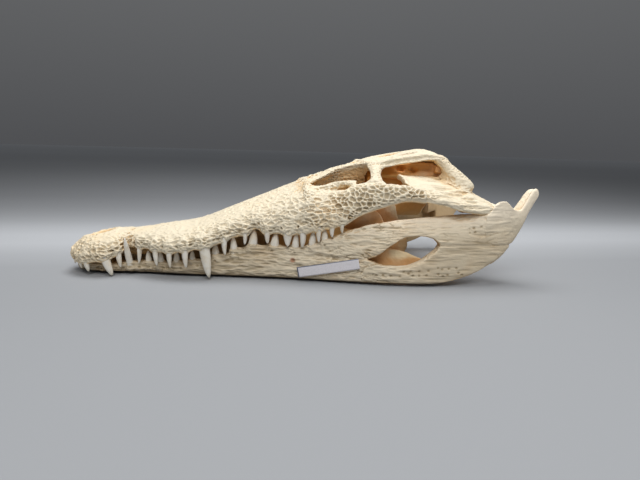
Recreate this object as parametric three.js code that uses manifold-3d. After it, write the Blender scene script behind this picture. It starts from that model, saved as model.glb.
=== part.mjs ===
// Skull of a half-grown Nile crocodile with its lower jaw closed, lying on its jaw.
// Millimetres, +Z up, snout towards -X, the animal's left side towards -Y.
// The origin is on the floor under the middle of the skull's box.
import * as THREE from 'three';
import { mergeVertices } from 'three/addons/utils/BufferGeometryUtils.js';
import Module from 'manifold-3d';

const wasm = await Module();
wasm.setup();

// Driving dimensions.
const SNOUT_TIP_X = -217;
const JAW_HINGE_X = 166;
const LEVER_END_X = 217; // the lower jaw's lever behind the joint ends the skull
const NOTCH_X = -159; // where the fourth lower tooth lies between premaxilla and maxilla
const FACE_END_X = 4; // the snout's bones end here and the orbits begin
const TABLE_FRONT_X = 64;
const TABLE_REAR_X = 134;
const TABLE_TOP_Z = 121;
const SEAM = 0.3; // open width of every suture
const PALATE_VAULT = 5; // the palate's middle lies this far above the tooth sockets
const JAW_WALL = 7; // thickness of the lower jaw's plates
const LABEL_SIZE = { length: 57, height: 9.6, thickness: 0.6 };
const LABEL_PLACE = { x: 22, z: 14.5, tilt: 0.2, turn: 0.27 }; // angles in radians
const FAR = 400; // reaches past the whole skull

// A smooth curve through [x, value] knots, flat beyond its ends.
function curveThrough(knots) {
  const last = knots.length - 1;
  const slope = knots.map((knot, i) => {
    const before = knots[Math.max(i - 1, 0)];
    const after = knots[Math.min(i + 1, last)];
    const left = (knot[1] - before[1]) / (knot[0] - before[0] || 1);
    const right = (after[1] - knot[1]) / (after[0] - knot[0] || 1);
    if (i === 0) return right;
    if (i === last) return left;
    return left * right <= 0 ? 0 : (2 * left * right) / (left + right);
  });
  return (x) => {
    if (x <= knots[0][0]) return knots[0][1];
    if (x >= knots[last][0]) return knots[last][1];
    const i = knots.findIndex((knot) => knot[0] > x) - 1;
    const span = knots[i + 1][0] - knots[i][0];
    const t = (x - knots[i][0]) / span;
    const rise = knots[i + 1][1] - knots[i][1];
    const bend = slope[i] * span - rise;
    const ease = rise - slope[i + 1] * span;
    return knots[i][1] + rise * t + t * (1 - t) * (bend * (1 - t) + ease * t);
  };
}

// The skull's own curves along X.
const upperHalfWidth = curveThrough([
  [SNOUT_TIP_X, 3], [-213, 11], [-205, 20], [-195, 27], [-185, 30.5], [-176, 30.5], [-168, 26.5], [NOTCH_X, 21],
  [-149, 26.5], [-136, 35], [-120, 42], [-100, 47], [-84, 47.5], [-60, 46], [-35, 50], [0, 58.5], [40, 67.5],
  [80, 76], [120, 81.5], [142, 82.5], [170, 81],
]);
const toothLine = curveThrough([
  [SNOUT_TIP_X, 16], [-208, 12], [-190, 13], [-172, 18], [-161, 25], [-145, 26], [-123, 24], [-100, 27.5],
  [-85, 30], [-66, 38], [-54, 41], [-43, 47], [-34, 44], [-15, 43], [5, 46.5], [35, 55], [52, 65],
]);
const snoutTop = curveThrough([
  [SNOUT_TIP_X, 25], [-213, 29], [-205, 33.5], [-190, 38], [-171, 40.5], [-150, 41.5], [-128, 45], [-104, 48.5],
  [-90, 53], [-70, 62], [-40, 74.5], [0, 90], [22, 98], [38, 104], [52, 108], [TABLE_FRONT_X, 112],
]);
const lowerHalfWidth = curveThrough([
  [-210, 4], [-204, 12], [-195, 17], [-184, 20.5], [-170, 22], [-157, 22], [-140, 26], [-120, 31.5], [-100, 35.5],
  [-80, 38.5], [-55, 43], [-30, 48], [0, 55], [40, 66], [80, 76], [120, 80.5], [160, 81.5], [180, 80],
  [200, 74], [218, 70],
]);
const lowerRim = curveThrough([
  [-210, 9], [-195, 10], [-170, 11], [-140, 12], [-115, 13.5], [-92, 18], [-72, 24], [-55, 29], [-40, 32], [-5, 32],
  [16, 39], [36, 48], [62, 56], [96, 61], [141, 66], [JAW_HINGE_X, 68],
]);
const jawUnderside = curveThrough([
  [-210, 4.5], [-203, 2], [-190, 0.6], [-150, 0], [40, 0], [109, 0], [126, 1.5], [141, 5], [154, 10], [168, 18],
  [181, 27], [190, 35.5], [197, 44], [203, 53], [208, 64], [214, 75], [218, 82],
]);

// Each side of the skull mirrors the other: side is -1 on the animal's left and +1 on its right.
const SIDES = [['left', -1], ['right', 1]];

// Rings joined into one closed skin, with a fan at each end. tip moves the last fan's middle to a point.
function closedGeometry(rings, tip) {
  const count = rings[0].length;
  const positions = [];
  const index = [];
  for (const ring of rings) {
    for (const point of ring) positions.push(point.x, point.y, point.z);
  }
  for (let i = 0; i + 1 < rings.length; i += 1) {
    for (let j = 0; j < count; j += 1) {
      const a = i * count + j;
      const b = i * count + ((j + 1) % count);
      index.push(a, b, a + count, b, b + count, a + count);
    }
  }
  for (const end of [0, rings.length - 1]) {
    const middle = new THREE.Vector3();
    for (const point of rings[end]) middle.addScaledVector(point, 1 / count);
    if (tip && end > 0) middle.copy(tip);
    const centre = positions.length / 3;
    positions.push(middle.x, middle.y, middle.z);
    for (let j = 0; j < count; j += 1) {
      const a = end * count + j;
      const b = end * count + ((j + 1) % count);
      if (end === 0) index.push(b, a, centre);
      else index.push(a, b, centre);
    }
  }
  const geometry = new THREE.BufferGeometry();
  geometry.setAttribute('position', new THREE.Float32BufferAttribute(positions, 3));
  geometry.setIndex(index);
  return geometry;
}

function signedVolume(geometry) {
  const position = geometry.getAttribute('position');
  const index = geometry.getIndex();
  const corners = [new THREE.Vector3(), new THREE.Vector3(), new THREE.Vector3()];
  let volume = 0;
  for (let i = 0; i < index.count; i += 3) {
    corners.forEach((corner, k) => corner.fromBufferAttribute(position, index.getX(i + k)));
    volume += corners[0].dot(corners[1].clone().cross(corners[2])) / 6;
  }
  return volume;
}

function solid(geometry) {
  geometry.deleteAttribute('normal');
  geometry.deleteAttribute('uv');
  const merged = mergeVertices(geometry, 1e-4);
  const order = Array.from(merged.getIndex().array);
  if (signedVolume(merged) < 0) {
    for (let i = 0; i < order.length; i += 3) [order[i], order[i + 1]] = [order[i + 1], order[i]];
  }
  const vertProperties = Float32Array.from(merged.getAttribute('position').array);
  return new wasm.Manifold(new wasm.Mesh({ numProp: 3, vertProperties, triVerts: Uint32Array.from(order) }));
}

function joined(solids) {
  return solids.reduce((whole, piece) => whole.add(piece));
}

// Slices at even steps along X, each drawn by outline(x), which returns [y, z] points in order.
function loftAlongX(from, to, steps, outline) {
  const rings = [];
  for (let i = 0; i <= steps; i += 1) {
    const x = from + ((to - from) * i) / steps;
    rings.push(outline(x).map(([y, z]) => new THREE.Vector3(x, y, z)));
  }
  return solid(closedGeometry(rings));
}

// A bar of oval section along stops { at: [x, y, z], wide, thick }, wide measured along the flat direction.
function bar(stops, flat, sides = 8) {
  const flatDirection = new THREE.Vector3(...flat).normalize();
  const places = stops.map((stop) => new THREE.Vector3(...stop.at));
  const rings = stops.map((stop, i) => {
    const before = places[Math.max(i - 1, 0)];
    const after = places[Math.min(i + 1, places.length - 1)];
    const along = after.clone().sub(before).normalize();
    const thin = along.clone().cross(flatDirection).normalize();
    const wide = thin.clone().cross(along).normalize();
    const ring = [];
    for (let j = 0; j < sides; j += 1) {
      const turn = (2 * Math.PI * j) / sides;
      const point = places[i].clone();
      point.addScaledVector(wide, Math.cos(turn) * stop.wide);
      point.addScaledVector(thin, Math.sin(turn) * stop.thick);
      ring.push(point);
    }
    return ring;
  });
  return solid(closedGeometry(rings));
}

function ellipsoid([x, y, z], [rx, ry, rz], segments = 12) {
  const geometry = new THREE.SphereGeometry(1, segments, segments / 2);
  geometry.scale(rx, ry, rz);
  geometry.translate(x, y, z);
  return solid(geometry);
}

function block([x0, x1], [y0, y1], [z0, z1]) {
  const geometry = new THREE.BoxGeometry(x1 - x0, y1 - y0, z1 - z0);
  geometry.translate((x0 + x1) / 2, (y0 + y1) / 2, (z0 + z1) / 2);
  return solid(geometry);
}

// A right prism whose base is an XZ outline, reaching from y0 to y1.
function sidePrism(outline, y0, y1) {
  const geometry = new THREE.ExtrudeGeometry(new THREE.Shape(outline.map(([x, z]) => new THREE.Vector2(x, z))), {
    depth: y1 - y0,
    bevelEnabled: false,
  });
  geometry.rotateX(Math.PI / 2);
  geometry.translate(0, y1, 0);
  return solid(geometry);
}

// A curved conical tooth from its neck to its tip.
function tooth({ neck, tip, radius }) {
  const foot = new THREE.Vector3(...neck);
  const point = new THREE.Vector3(...tip);
  const sides = 5;
  const rings = [[0, 1], [0.55, 0.72]].map(([t, share]) => {
    const middle = foot.clone().lerp(point, t);
    const ring = [];
    for (let j = 0; j < sides; j += 1) {
      const turn = (2 * Math.PI * j) / sides;
      const x = middle.x + radius * share * Math.cos(turn);
      const y = middle.y + radius * share * 0.85 * Math.sin(turn);
      ring.push(new THREE.Vector3(x, y, middle.z));
    }
    return ring;
  });
  return solid(closedGeometry(rings, point));
}

const TOOTH_ROOT = 4; // how deep a neck starts inside its socket

// [x at the neck, tip z, neck radius, lean of the tip along X, lean outwards where it is more than usual]
const PREMAXILLA_TEETH = [
  [-211, 9, 1.8, 0], [-204.4, 6.5, 2.2, 1.6], [-198, 0.6, 2.8, 2.6], [-180, 0.4, 4, 6], [-168.7, 9, 2.9, 2],
];
const MAXILLA_TEETH = [
  [-148.8, 12.6, 2.3, -1.4], [-133.8, 12.6, 2.9, 1.2], [-120.8, 12, 2.9, 1], [-106.2, 13, 3.4, 1],
  [-89.4, 4.3, 4.8, 4], [-71.5, 24.6, 2.9, 1], [-52.4, 34, 2.7, -0.5], [-32.6, 35.6, 3.4, 0.5], [-14.2, 33.6, 3.9, 0],
  [-0.8, 33.8, 3.9, -0.6], [12.8, 39, 3, 0.6], [24, 43.8, 2.7, 0.9], [32.8, 48, 2.4, 0.7],
];
const DENTARY_TEETH = [
  [-205, 15, 2.6, -2], [-195, 15, 2.2, -1], [-184, 16, 2.2, 0], [-158.6, 34, 3, -2, 6], [-142.2, 22, 2.9, 0],
  [-130.2, 22, 2.8, -0.6], [-115.8, 23.4, 3, 0], [-101.1, 24, 2.9, 0], [-79.8, 30.5, 3.7, 0], [-62.6, 38, 3.4, -0.8],
  [-46, 45, 4.2, 1.8], [-26.2, 43, 4, 1.6], [-7.1, 43.5, 3.4, 0.9], [8.1, 46, 3.4, 0.7], [19.5, 49.6, 3.2, -1.2],
];

function upperTeeth(rows, side) {
  return rows.map(([x, tipZ, radius, lean]) => {
    const y = side * (upperHalfWidth(x) - 1 - 0.6 * radius);
    const neck = [x, y, toothLine(x) + TOOTH_ROOT];
    return tooth({ neck, tip: [x + lean, y + side * 0.5, tipZ], radius });
  });
}

function lowerTeeth(side) {
  return DENTARY_TEETH.map(([x, tipZ, radius, lean, outward = 0.5]) => {
    const y = side * (lowerHalfWidth(x) - 1.5 - radius + 0.7 * outward);
    return tooth({ neck: [x, y, lowerRim(x) - TOOTH_ROOT], tip: [x + lean, y + side * outward, tipZ], radius });
  });
}

// Half of the snout's slice on one side, from the palate's middle round the flank to the midline of the top.
const SNOUT_FLANK = [
  [0, 0, 1], [0.5, 0, 0.8], [0.8, 0, 0], [0.95, 0.04, 0], [1, 0.24, 0], [0.97, 0.52, 0], [0.83, 0.78, 0],
  [0.56, 0.94, 0], [0.28, 0.99, 0], [0, 1, 0],
];

function snoutOutline(x, side) {
  const half = upperHalfWidth(x);
  const low = toothLine(x);
  const high = snoutTop(x);
  const vault = PALATE_VAULT * Math.min(1, half / 20);
  return SNOUT_FLANK.map(([across, up, arch]) => [side * across * half, low + up * (high - low) + arch * vault]);
}

function snoutHalf(from, to, steps, side) {
  const inner = (SEAM / 2) * side;
  return loftAlongX(from, to, steps, (x) => snoutOutline(x, side).map(([y, z]) => [y + inner, z]));
}

function premaxilla() {
  const end = NOTCH_X - SEAM / 2;
  const whole = loftAlongX(SNOUT_TIP_X, end, 9, (x) => {
    const left = snoutOutline(x, -1);
    const right = snoutOutline(x, 1).reverse();
    return [...left, ...right.slice(1, -1)];
  });
  const nostril = ellipsoid([-188, 0, 41], [14, 11, 17]);
  const pits = SIDES.flatMap(([, side]) => DENTARY_TEETH.slice(0, 3).map(([x, tipZ, radius, lean]) => {
    const y = side * (lowerHalfWidth(x) - 1.2 - radius);
    return tooth({ neck: [x, y, 0], tip: [x + lean, y, tipZ + 4], radius: radius + 2.5 });
  }));
  const teeth = SIDES.flatMap(([, side]) => upperTeeth(PREMAXILLA_TEETH, side));
  return joined([whole.subtract(joined([nostril, ...pits])), ...teeth]);
}

const JUGAL_END_X = 93;
// The cheek plate under the orbit: its lower edge, its top edge and its half thickness.
const cheekLowZ = curveThrough([[2, 46], [20, 51], [38, 56], [52, 66], [68, 73], [86, 79], [96, 81], [104, 80]]);
const cheekTopY = curveThrough([[2, 34], [12, 38], [24, 46], [38, 54], [50, 59], [66, 65], [88, 70], [104, 73]]);
const cheekTopZ = curveThrough([[2, 85], [22, 84], [36, 86], [45, 92], [60, 94], [88, 93], [104, 91]]);
const cheekThickness = curveThrough([[2, 9], [30, 6.5], [60, 5], [90, 4.2], [104, 4]]);

function cheekPlate(from, to, steps, side) {
  return loftAlongX(from, to, steps, (x) => {
    const half = cheekThickness(x);
    const outer = upperHalfWidth(x);
    const low = cheekLowZ(x);
    const topY = cheekTopY(x);
    const topZ = cheekTopZ(x);
    const middleZ = low + 0.45 * (topZ - low);
    return [
      [outer - 4, low], [outer, low + 4], [outer, middleZ], [(outer + topY) / 2 + 2, topZ - 4], [topY + 2, topZ],
      [topY - 2, topZ - 1], [topY - half, topZ - 7], [outer - 2.4 * half, middleZ], [outer - 2.4 * half, low + 4],
      [outer - 1.6 * half, low + 1],
    ].map(([y, z]) => [side * y, z]);
  });
}

// Everything below the suture between maxilla and jugal, which falls from the orbit to the last tooth.
const JUGAL_SUTURE = { frontZ: 72, rearX: 56, rearZ: 58 };

function underJugal(side, lift) {
  const { frontZ, rearX, rearZ } = JUGAL_SUTURE;
  const outline = [[FACE_END_X, 0], [rearX, 0], [rearX, rearZ + lift], [FACE_END_X, frontZ + lift]];
  return sidePrism(outline, side < 0 ? -FAR : 0, side < 0 ? 0 : FAR);
}

function suborbitalOpening(side) {
  return ellipsoid([26, side * 29, 50], [54, 14, 24], 12);
}

function maxilla(side) {
  const snout = snoutHalf(NOTCH_X + SEAM / 2, FACE_END_X, 15, side);
  const lower = cheekPlate(FACE_END_X - 2, 54, 8, side).intersect(underJugal(side, -SEAM));
  const teeth = upperTeeth(MAXILLA_TEETH, side);
  return joined([snout, lower]).subtract(suborbitalOpening(side)).add(joined(teeth));
}

function jugal(side) {
  const plate = cheekPlate(FACE_END_X + SEAM, JUGAL_END_X, 12, side);
  return plate.subtract(underJugal(side, 0));
}

const frontalHalfWidth = curveThrough([
  [FACE_END_X, 32], [9, 30], [21, 22], [30, 16], [44, 11], [54, 14], [60, 22], [66, 33], [72, 37],
]);

function frontal() {
  const start = FACE_END_X + SEAM;
  const end = TABLE_FRONT_X - SEAM;
  return loftAlongX(start, end, 14, (x) => {
    const half = frontalHalfWidth(x);
    const top = snoutTop(x);
    const pillar = Math.max(0, 1 - (x - FACE_END_X) / 14);
    const thick = 8 + 11 * pillar * pillar;
    return [
      [-half, top - 1], [-half * 0.6, top - 1.5], [0, top - 1], [half * 0.6, top - 1.5], [half, top - 1],
      [half - 1, top - 4], [half * 0.5, top - thick], [-half * 0.5, top - thick], [-half + 1, top - 4],
    ];
  });
}

const tableHalfWidth = curveThrough([[TABLE_FRONT_X, 33], [74, 37], [92, 40], [115, 45], [TABLE_REAR_X, 49]]);
const tableTop = curveThrough([
  [TABLE_FRONT_X, 112.5], [74, 115.5], [90, 118.5], [106, TABLE_TOP_Z], [120, TABLE_TOP_Z], [TABLE_REAR_X, 118],
]);
const TEMPORAL_HOLE = { x: 99, y: 20, long: 14, wide: 9.5 };

function skullTable() {
  const plate = loftAlongX(TABLE_FRONT_X, TABLE_REAR_X, 7, (x) => {
    const half = tableHalfWidth(x);
    const top = tableTop(x);
    return [
      [-half, top - 1], [-half * 0.6, top], [0, top - 1.5], [half * 0.6, top], [half, top - 1],
      [half + 0.5, top - 5], [half - 4, top - 9], [half * 0.5, top - 7], [-half * 0.5, top - 7], [-half + 4, top - 9],
      [-half - 0.5, top - 5],
    ];
  });
  const horns = SIDES.map(([, side]) => bar([
    { at: [116, side * 40, 113], wide: 5.5, thick: 4 },
    { at: [130, side * 46, 111], wide: 6, thick: 5 },
    { at: [140, side * 52, 104.5], wide: 5.5, thick: 5 },
    { at: [148, side * 57, 98.5], wide: 5, thick: 4.6 },
    { at: [152.5, side * 59, 94], wide: 3.6, thick: 3.6 },
  ], [0, 0, 1]));
  const holes = SIDES.map(([, side]) => {
    const hole = new THREE.CylinderGeometry(1, 1, 60, 12);
    hole.rotateX(Math.PI / 2);
    hole.scale(TEMPORAL_HOLE.long, TEMPORAL_HOLE.wide, 1);
    hole.translate(TEMPORAL_HOLE.x, side * TEMPORAL_HOLE.y, TABLE_TOP_Z);
    return solid(hole);
  });
  return joined([plate, ...horns]).subtract(joined(holes));
}

// The thin bar behind the orbit, from the table's corner down to the jugal.
function postorbital(side) {
  return bar([
    { at: [69, side * 35, 105.6], wide: 6.5, thick: 3.5 },
    { at: [67, side * 42, 102.5], wide: 4.8, thick: 3.4 },
    { at: [65, side * 52, 98], wide: 4.4, thick: 3.2 },
    { at: [63.5, side * 60, 94.8], wide: 6, thick: 3.2 },
  ], [1, 0, 0], 10);
}

const BRAINCASE_LOW_Z = 58;
const REAR_PLATE = { x: 126, thickness: 11 };

function braincase() {
  const half = curveThrough([[66, 8], [80, 11], [100, 15], [118, 20], [136, 26]]);
  const core = loftAlongX(TABLE_FRONT_X + 4, REAR_PLATE.x + 2, 8, (x) => {
    const wide = half(x);
    const top = tableTop(x) - 10;
    return [
      [-wide, top], [wide, top], [wide * 1.15, top - 14], [wide * 0.7, BRAINCASE_LOW_Z + 12],
      [wide * 0.35, BRAINCASE_LOW_Z], [-wide * 0.35, BRAINCASE_LOW_Z], [-wide * 0.7, BRAINCASE_LOW_Z + 12],
      [-wide * 1.15, top - 14],
    ];
  });
  const plateOutline = [
    [0, 108], [34, 108], [42, 104], [42, 101], [36.5, 100], [35, 90], [24, 78], [16, 66], [9, 60], [0, 58.5],
  ];
  const mirrored = plateOutline.slice(1, -1).reverse().map(([y, z]) => [-y, z]);
  const shape = new THREE.Shape([...plateOutline, ...mirrored].map(([y, z]) => new THREE.Vector2(y, z)));
  const plate = new THREE.ExtrudeGeometry(shape, { depth: REAR_PLATE.thickness, bevelEnabled: false });
  plate.rotateX(Math.PI / 2);
  plate.rotateZ(Math.PI / 2);
  plate.translate(REAR_PLATE.x, 0, 0);
  const condyle = ellipsoid([139, 0, 79], [8, 8, 7], 10);
  const magnum = ellipsoid([138, 0, 93], [14, 7, 6], 10);
  const wings = SIDES.map(([, side]) => bar([
    { at: [112, side * 12, 84], wide: 12, thick: 5 },
    { at: [120, side * 36, 90], wide: 12, thick: 4 },
  ], [1, 0, 0.3]));
  return joined([core, solid(plate), condyle, ...wings]).subtract(magnum);
}

// The quadrate and quadratojugal: a sloping plate from under the table out and back to the jaw joint.
const quadrateInnerY = curveThrough([[84, 40], [120, 40], [140, 46], [156, 53], [172, 58]]);
const quadrateInnerZ = curveThrough([[84, 101], [96, 98], [120, 97], [136, 95], [150, 90], [160, 83], [174, 76]]);
const quadrateOuterY = curveThrough([[84, 52], [90, 66], [96, 75], [120, 80], [150, 81.5], [174, 79]]);
const quadrateOuterZ = curveThrough([[84, 98], [90, 90], [96, 83], [120, 78.5], [142, 75], [156, 74], [174, 74]]);

const QUADRATE = { front: 84, rear: 173, jugalEnd: 110, cheekY: 58 };

function quadrate(side) {
  const plate = loftAlongX(QUADRATE.front, QUADRATE.rear, 12, (x) => {
    const half = 3.4 + 1.2 * Math.max(0, (x - 130) / 40);
    const innerY = quadrateInnerY(x);
    const innerZ = quadrateInnerZ(x);
    const outerY = quadrateOuterY(x);
    const outerZ = quadrateOuterZ(x);
    const middleY = (innerY + outerY) / 2;
    const middleZ = (innerZ + outerZ) / 2 + 2.5;
    return [
      [innerY, innerZ + half * 0.6], [middleY, middleZ + half * 0.7], [outerY - 2, outerZ + half],
      [outerY, outerZ + half * 0.4], [outerY, outerZ - half * 0.5], [outerY - 4, outerZ - half],
      [middleY - 2, middleZ - half], [innerY, innerZ - half],
    ].map(([y, z]) => [side * y, z]);
  });
  const condyles = [62, 75].map((y) => ellipsoid([167, side * y, 76], [7, 7.5, 6], 8));
  const jugalEnd = cheekPlate(JUGAL_END_X + SEAM, QUADRATE.jugalEnd, 4, side);
  const cheek = side < 0 ? [-FAR, -QUADRATE.cheekY] : [QUADRATE.cheekY, FAR];
  const jugalSpace = block([0, JUGAL_END_X + SEAM], cheek, [0, FAR]);
  return joined([plate.subtract(jugalSpace), ...condyles, jugalEnd]);
}

const PALATINE_END_X = 66.5;

function palatine() {
  const half = curveThrough([[FACE_END_X, 13], [20, 11], [40, 10], [60, 13], [PALATINE_END_X, 14]]);
  return loftAlongX(FACE_END_X + SEAM, PALATINE_END_X, 6, (x) => {
    const wide = half(x);
    const middle = 60 - 0.02 * x;
    return [
      [-wide, middle - 3], [-wide * 0.6, middle - 6], [wide * 0.6, middle - 6], [wide, middle - 3],
      [wide * 0.9, middle + 4], [wide * 0.4, middle + 8], [-wide * 0.4, middle + 8], [-wide * 0.9, middle + 4],
    ];
  });
}

function pterygoid(side) {
  return bar([
    { at: [84, side, 54], wide: 15, thick: 2.5 },
    { at: [84, side * 22, 50.5], wide: 16, thick: 2.5 },
    { at: [86, side * 38, 42], wide: 17, thick: 2.5 },
    { at: [87, side * 50, 33], wide: 14, thick: 3.2 },
    { at: [87, side * 54, 27], wide: 10, thick: 3 },
  ], [1, 0, -0.1]);
}

function ectopterygoid(side) {
  return bar([
    { at: [38, side * 46.5, 66], wide: 10, thick: 3 },
    { at: [50, side * 47, 62], wide: 9, thick: 3 },
    { at: [60, side * 49, 54], wide: 7, thick: 3 },
    { at: [64.5, side * 52, 45], wide: 5, thick: 3 },
    { at: [66, side * 54, 38], wide: 3.5, thick: 2.6 },
  ], [0, 0.3, 1]);
}

// One slice of a jaw plate between two heights, outer face on the jaw's half width and lower edge flat.
function jawSlice(x, low, high, thick, side, inset = 0) {
  const outer = lowerHalfWidth(x) - inset;
  const third = (high - low) / 3;
  return [
    [outer - 0.3 * thick, low], [outer - 0.08 * thick, low + third * 0.5], [outer, low + third * 1.4],
    [outer - 0.15 * thick, high - third * 0.4], [outer - 0.5 * thick, high],
    [outer - 0.95 * thick, high - third * 0.4], [outer - thick, low + third], [outer - 0.7 * thick, low],
  ].map(([y, z]) => [side * y, z]);
}

const FENESTRA = { front: 63, rear: 119 };
// The suture between surangular and angular behind the opening.
const seamHeight = curveThrough([[FENESTRA.rear, 36], [160, 47], [188, 58]]);
const fenestraTop = curveThrough([[56, 24], [FENESTRA.front, 26], [78, 38], [94, 46], [106, 45.5], [115, 42], [120, 36]]);
const fenestraLow = curveThrough([[56, 24], [FENESTRA.front, 22], [74, 18.5], [90, 18.5], [102, 22], [112, 29], [120, 36]]);

// The dentary narrows from both edges to a point at the front of the opening.
function dentaryLow(x) {
  return jawUnderside(x) + 20 * Math.max(0, (x + 6) / 70);
}

function dentaryHigh(x) {
  return lowerRim(x) + (25 - lowerRim(x)) * Math.max(0, (x - 20) / 44);
}

function dentary(side) {
  const front = loftAlongX(-210, -148, 7, (x) => {
    const outer = lowerHalfWidth(x);
    const low = jawUnderside(x);
    const high = lowerRim(x);
    const inner = SEAM / 2;
    return [
      [inner, low + 0.6], [outer * 0.55, low], [outer * 0.85, low + 1], [outer, low + 0.5 * (high - low)],
      [outer - 1, high - 1], [outer - 4, high], [outer * 0.5, high - 2], [inner, high - 2.5],
    ].map(([y, z]) => [side * y, z]);
  });
  const thickness = curveThrough([[-150, 19], [-120, 15], [-60, 13], [0, 12], [30, 9], [70, 6]]);
  const ramus = loftAlongX(-150, FENESTRA.front + 1, 18, (x) => {
    return jawSlice(x, dentaryLow(x), dentaryHigh(x), thickness(x), side);
  });
  return joined([front, ramus, ...lowerTeeth(side)]);
}

const HINGE_BLOCK_X = 174; // where the angular gives way to the articular
const SURANGULAR_FRONT_X = 28;
const SURANGULAR_REAR_X = 161;
const ANGULAR_FRONT_X = 2;

function surangular(side) {
  return loftAlongX(SURANGULAR_FRONT_X, SURANGULAR_REAR_X, 12, (x) => {
    let low = seamHeight(x) + SEAM;
    if (x < FENESTRA.rear) low = fenestraTop(x);
    if (x < FENESTRA.front) low = dentaryHigh(x) + SEAM;
    return jawSlice(x, low, lowerRim(x), JAW_WALL + 1.5, side, 0.3);
  });
}

function angular(side) {
  return loftAlongX(ANGULAR_FRONT_X, HINGE_BLOCK_X, 13, (x) => {
    let high = seamHeight(x);
    if (x < FENESTRA.rear) high = fenestraLow(x);
    if (x < FENESTRA.front) high = dentaryLow(x) - SEAM;
    return jawSlice(x, jawUnderside(x), high, JAW_WALL + 2, side, 0.3);
  });
}

function splenial(side) {
  const topZ = curveThrough([[-30, 24], [10, 30], [60, 33], [84, 31], [110, 22], [124, 12]]);
  return loftAlongX(-30, 124, 10, (x) => {
    const outer = lowerHalfWidth(x) - 13.4;
    const low = jawUnderside(x) + 1.5;
    const high = topZ(x);
    return [[outer, low], [outer, high - 1], [outer - 1.5, high], [outer - 4, high - 2], [outer - 4, low]]
      .map(([y, z]) => [side * y, z]);
  });
}

// The articular carries the jaw joint and ends in the upturned lever behind it.
const articularTop = curveThrough([
  [HINGE_BLOCK_X - 12, 67.6], [172, 67.6], [176, 73], [179, 77], [184, 74.5], [188, 71], [193, 73], [198, 82], [203, 88],
  [209, 90], [215, 89], [218, 86],
]);
const articularInnerY = curveThrough([[158, 54], [172, 54], [186, 56], [198, 58], [218, 60]]);

function articularSlice(x, low, side, inset = 0) {
  const outer = lowerHalfWidth(x) - 0.5 - inset;
  const deep = articularInnerY(x) + inset;
  const high = articularTop(x) - inset;
  return [
    [outer - 3, low], [outer, low + 0.3 * (high - low)], [outer, high - 3], [outer - 2, high],
    [(outer + deep) / 2, high - 2.5], [deep + 2, high - 1], [deep, high - 4], [deep + 1, low + 3], [deep + 5, low],
  ].map(([y, z]) => [side * y, z]);
}

function articular(side) {
  const start = HINGE_BLOCK_X + SEAM;
  const front = SURANGULAR_REAR_X + 0.5;
  const joint = loftAlongX(front, start + 3, 4, (x) => articularSlice(x, seamHeight(x) + SEAM, side, 0.6));
  const lever = loftAlongX(start, LEVER_END_X, 10, (x) => articularSlice(x, jawUnderside(x), side));
  return joint.add(lever);
}

function paperLabel() {
  const { x, z, tilt, turn } = LABEL_PLACE;
  const geometry = new THREE.BoxGeometry(LABEL_SIZE.length, LABEL_SIZE.thickness, LABEL_SIZE.height);
  geometry.rotateY(-tilt);
  geometry.rotateZ(-turn);
  geometry.translate(x, -lowerHalfWidth(x) - 1.2, z);
  return solid(geometry);
}

const PALE_BONE = { color: 0xe6dfc9, roughness: 0.62, metalness: 0 };
const WARM_BONE = { color: 0xd9c4a0, roughness: 0.66, metalness: 0 };
const PAPER = { color: 0xe9e6e4, roughness: 0.8, metalness: 0 };

const skull = new THREE.Group();

function addPart(name, manifold, finish) {
  const result = manifold.getMesh();
  const geometry = new THREE.BufferGeometry();
  geometry.setAttribute('position', new THREE.BufferAttribute(Float32Array.from(result.vertProperties), 3));
  geometry.setIndex(Array.from(result.triVerts));
  geometry.computeVertexNormals();
  const mesh = new THREE.Mesh(geometry, new THREE.MeshStandardMaterial(finish));
  mesh.name = name;
  skull.add(mesh);
}

addPart('premaxilla', premaxilla(), PALE_BONE);
addPart('frontal', frontal(), PALE_BONE);
addPart('skull_table', skullTable(), PALE_BONE);
addPart('braincase', braincase(), WARM_BONE);
addPart('palatine', palatine(), WARM_BONE);
for (const [name, side] of SIDES) {
  addPart(`maxilla_${name}`, maxilla(side), PALE_BONE);
  addPart(`jugal_${name}`, jugal(side), PALE_BONE);
  addPart(`postorbital_${name}`, postorbital(side), PALE_BONE);
  addPart(`quadrate_${name}`, quadrate(side), PALE_BONE);
  addPart(`pterygoid_${name}`, pterygoid(side), WARM_BONE);
  addPart(`ectopterygoid_${name}`, ectopterygoid(side), WARM_BONE);
  addPart(`dentary_${name}`, dentary(side), PALE_BONE);
  addPart(`surangular_${name}`, surangular(side), PALE_BONE);
  addPart(`angular_${name}`, angular(side), PALE_BONE);
  addPart(`splenial_${name}`, splenial(side), WARM_BONE);
  addPart(`articular_${name}`, articular(side), PALE_BONE);
}
addPart('paper_label', paperLabel(), PAPER);

export default skull;
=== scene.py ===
# Skull of a half-grown Nile crocodile with its lower jaw closed, lying on the lower edges of its jaw.
# Shapes are worked out in millimetres and made in metres. +X runs from snout to neck, +Y to the animal's
# right and +Z up.
import functools
import math

import bpy
import numpy as np
import openvdb
from mathutils import Matrix, Vector


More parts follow.
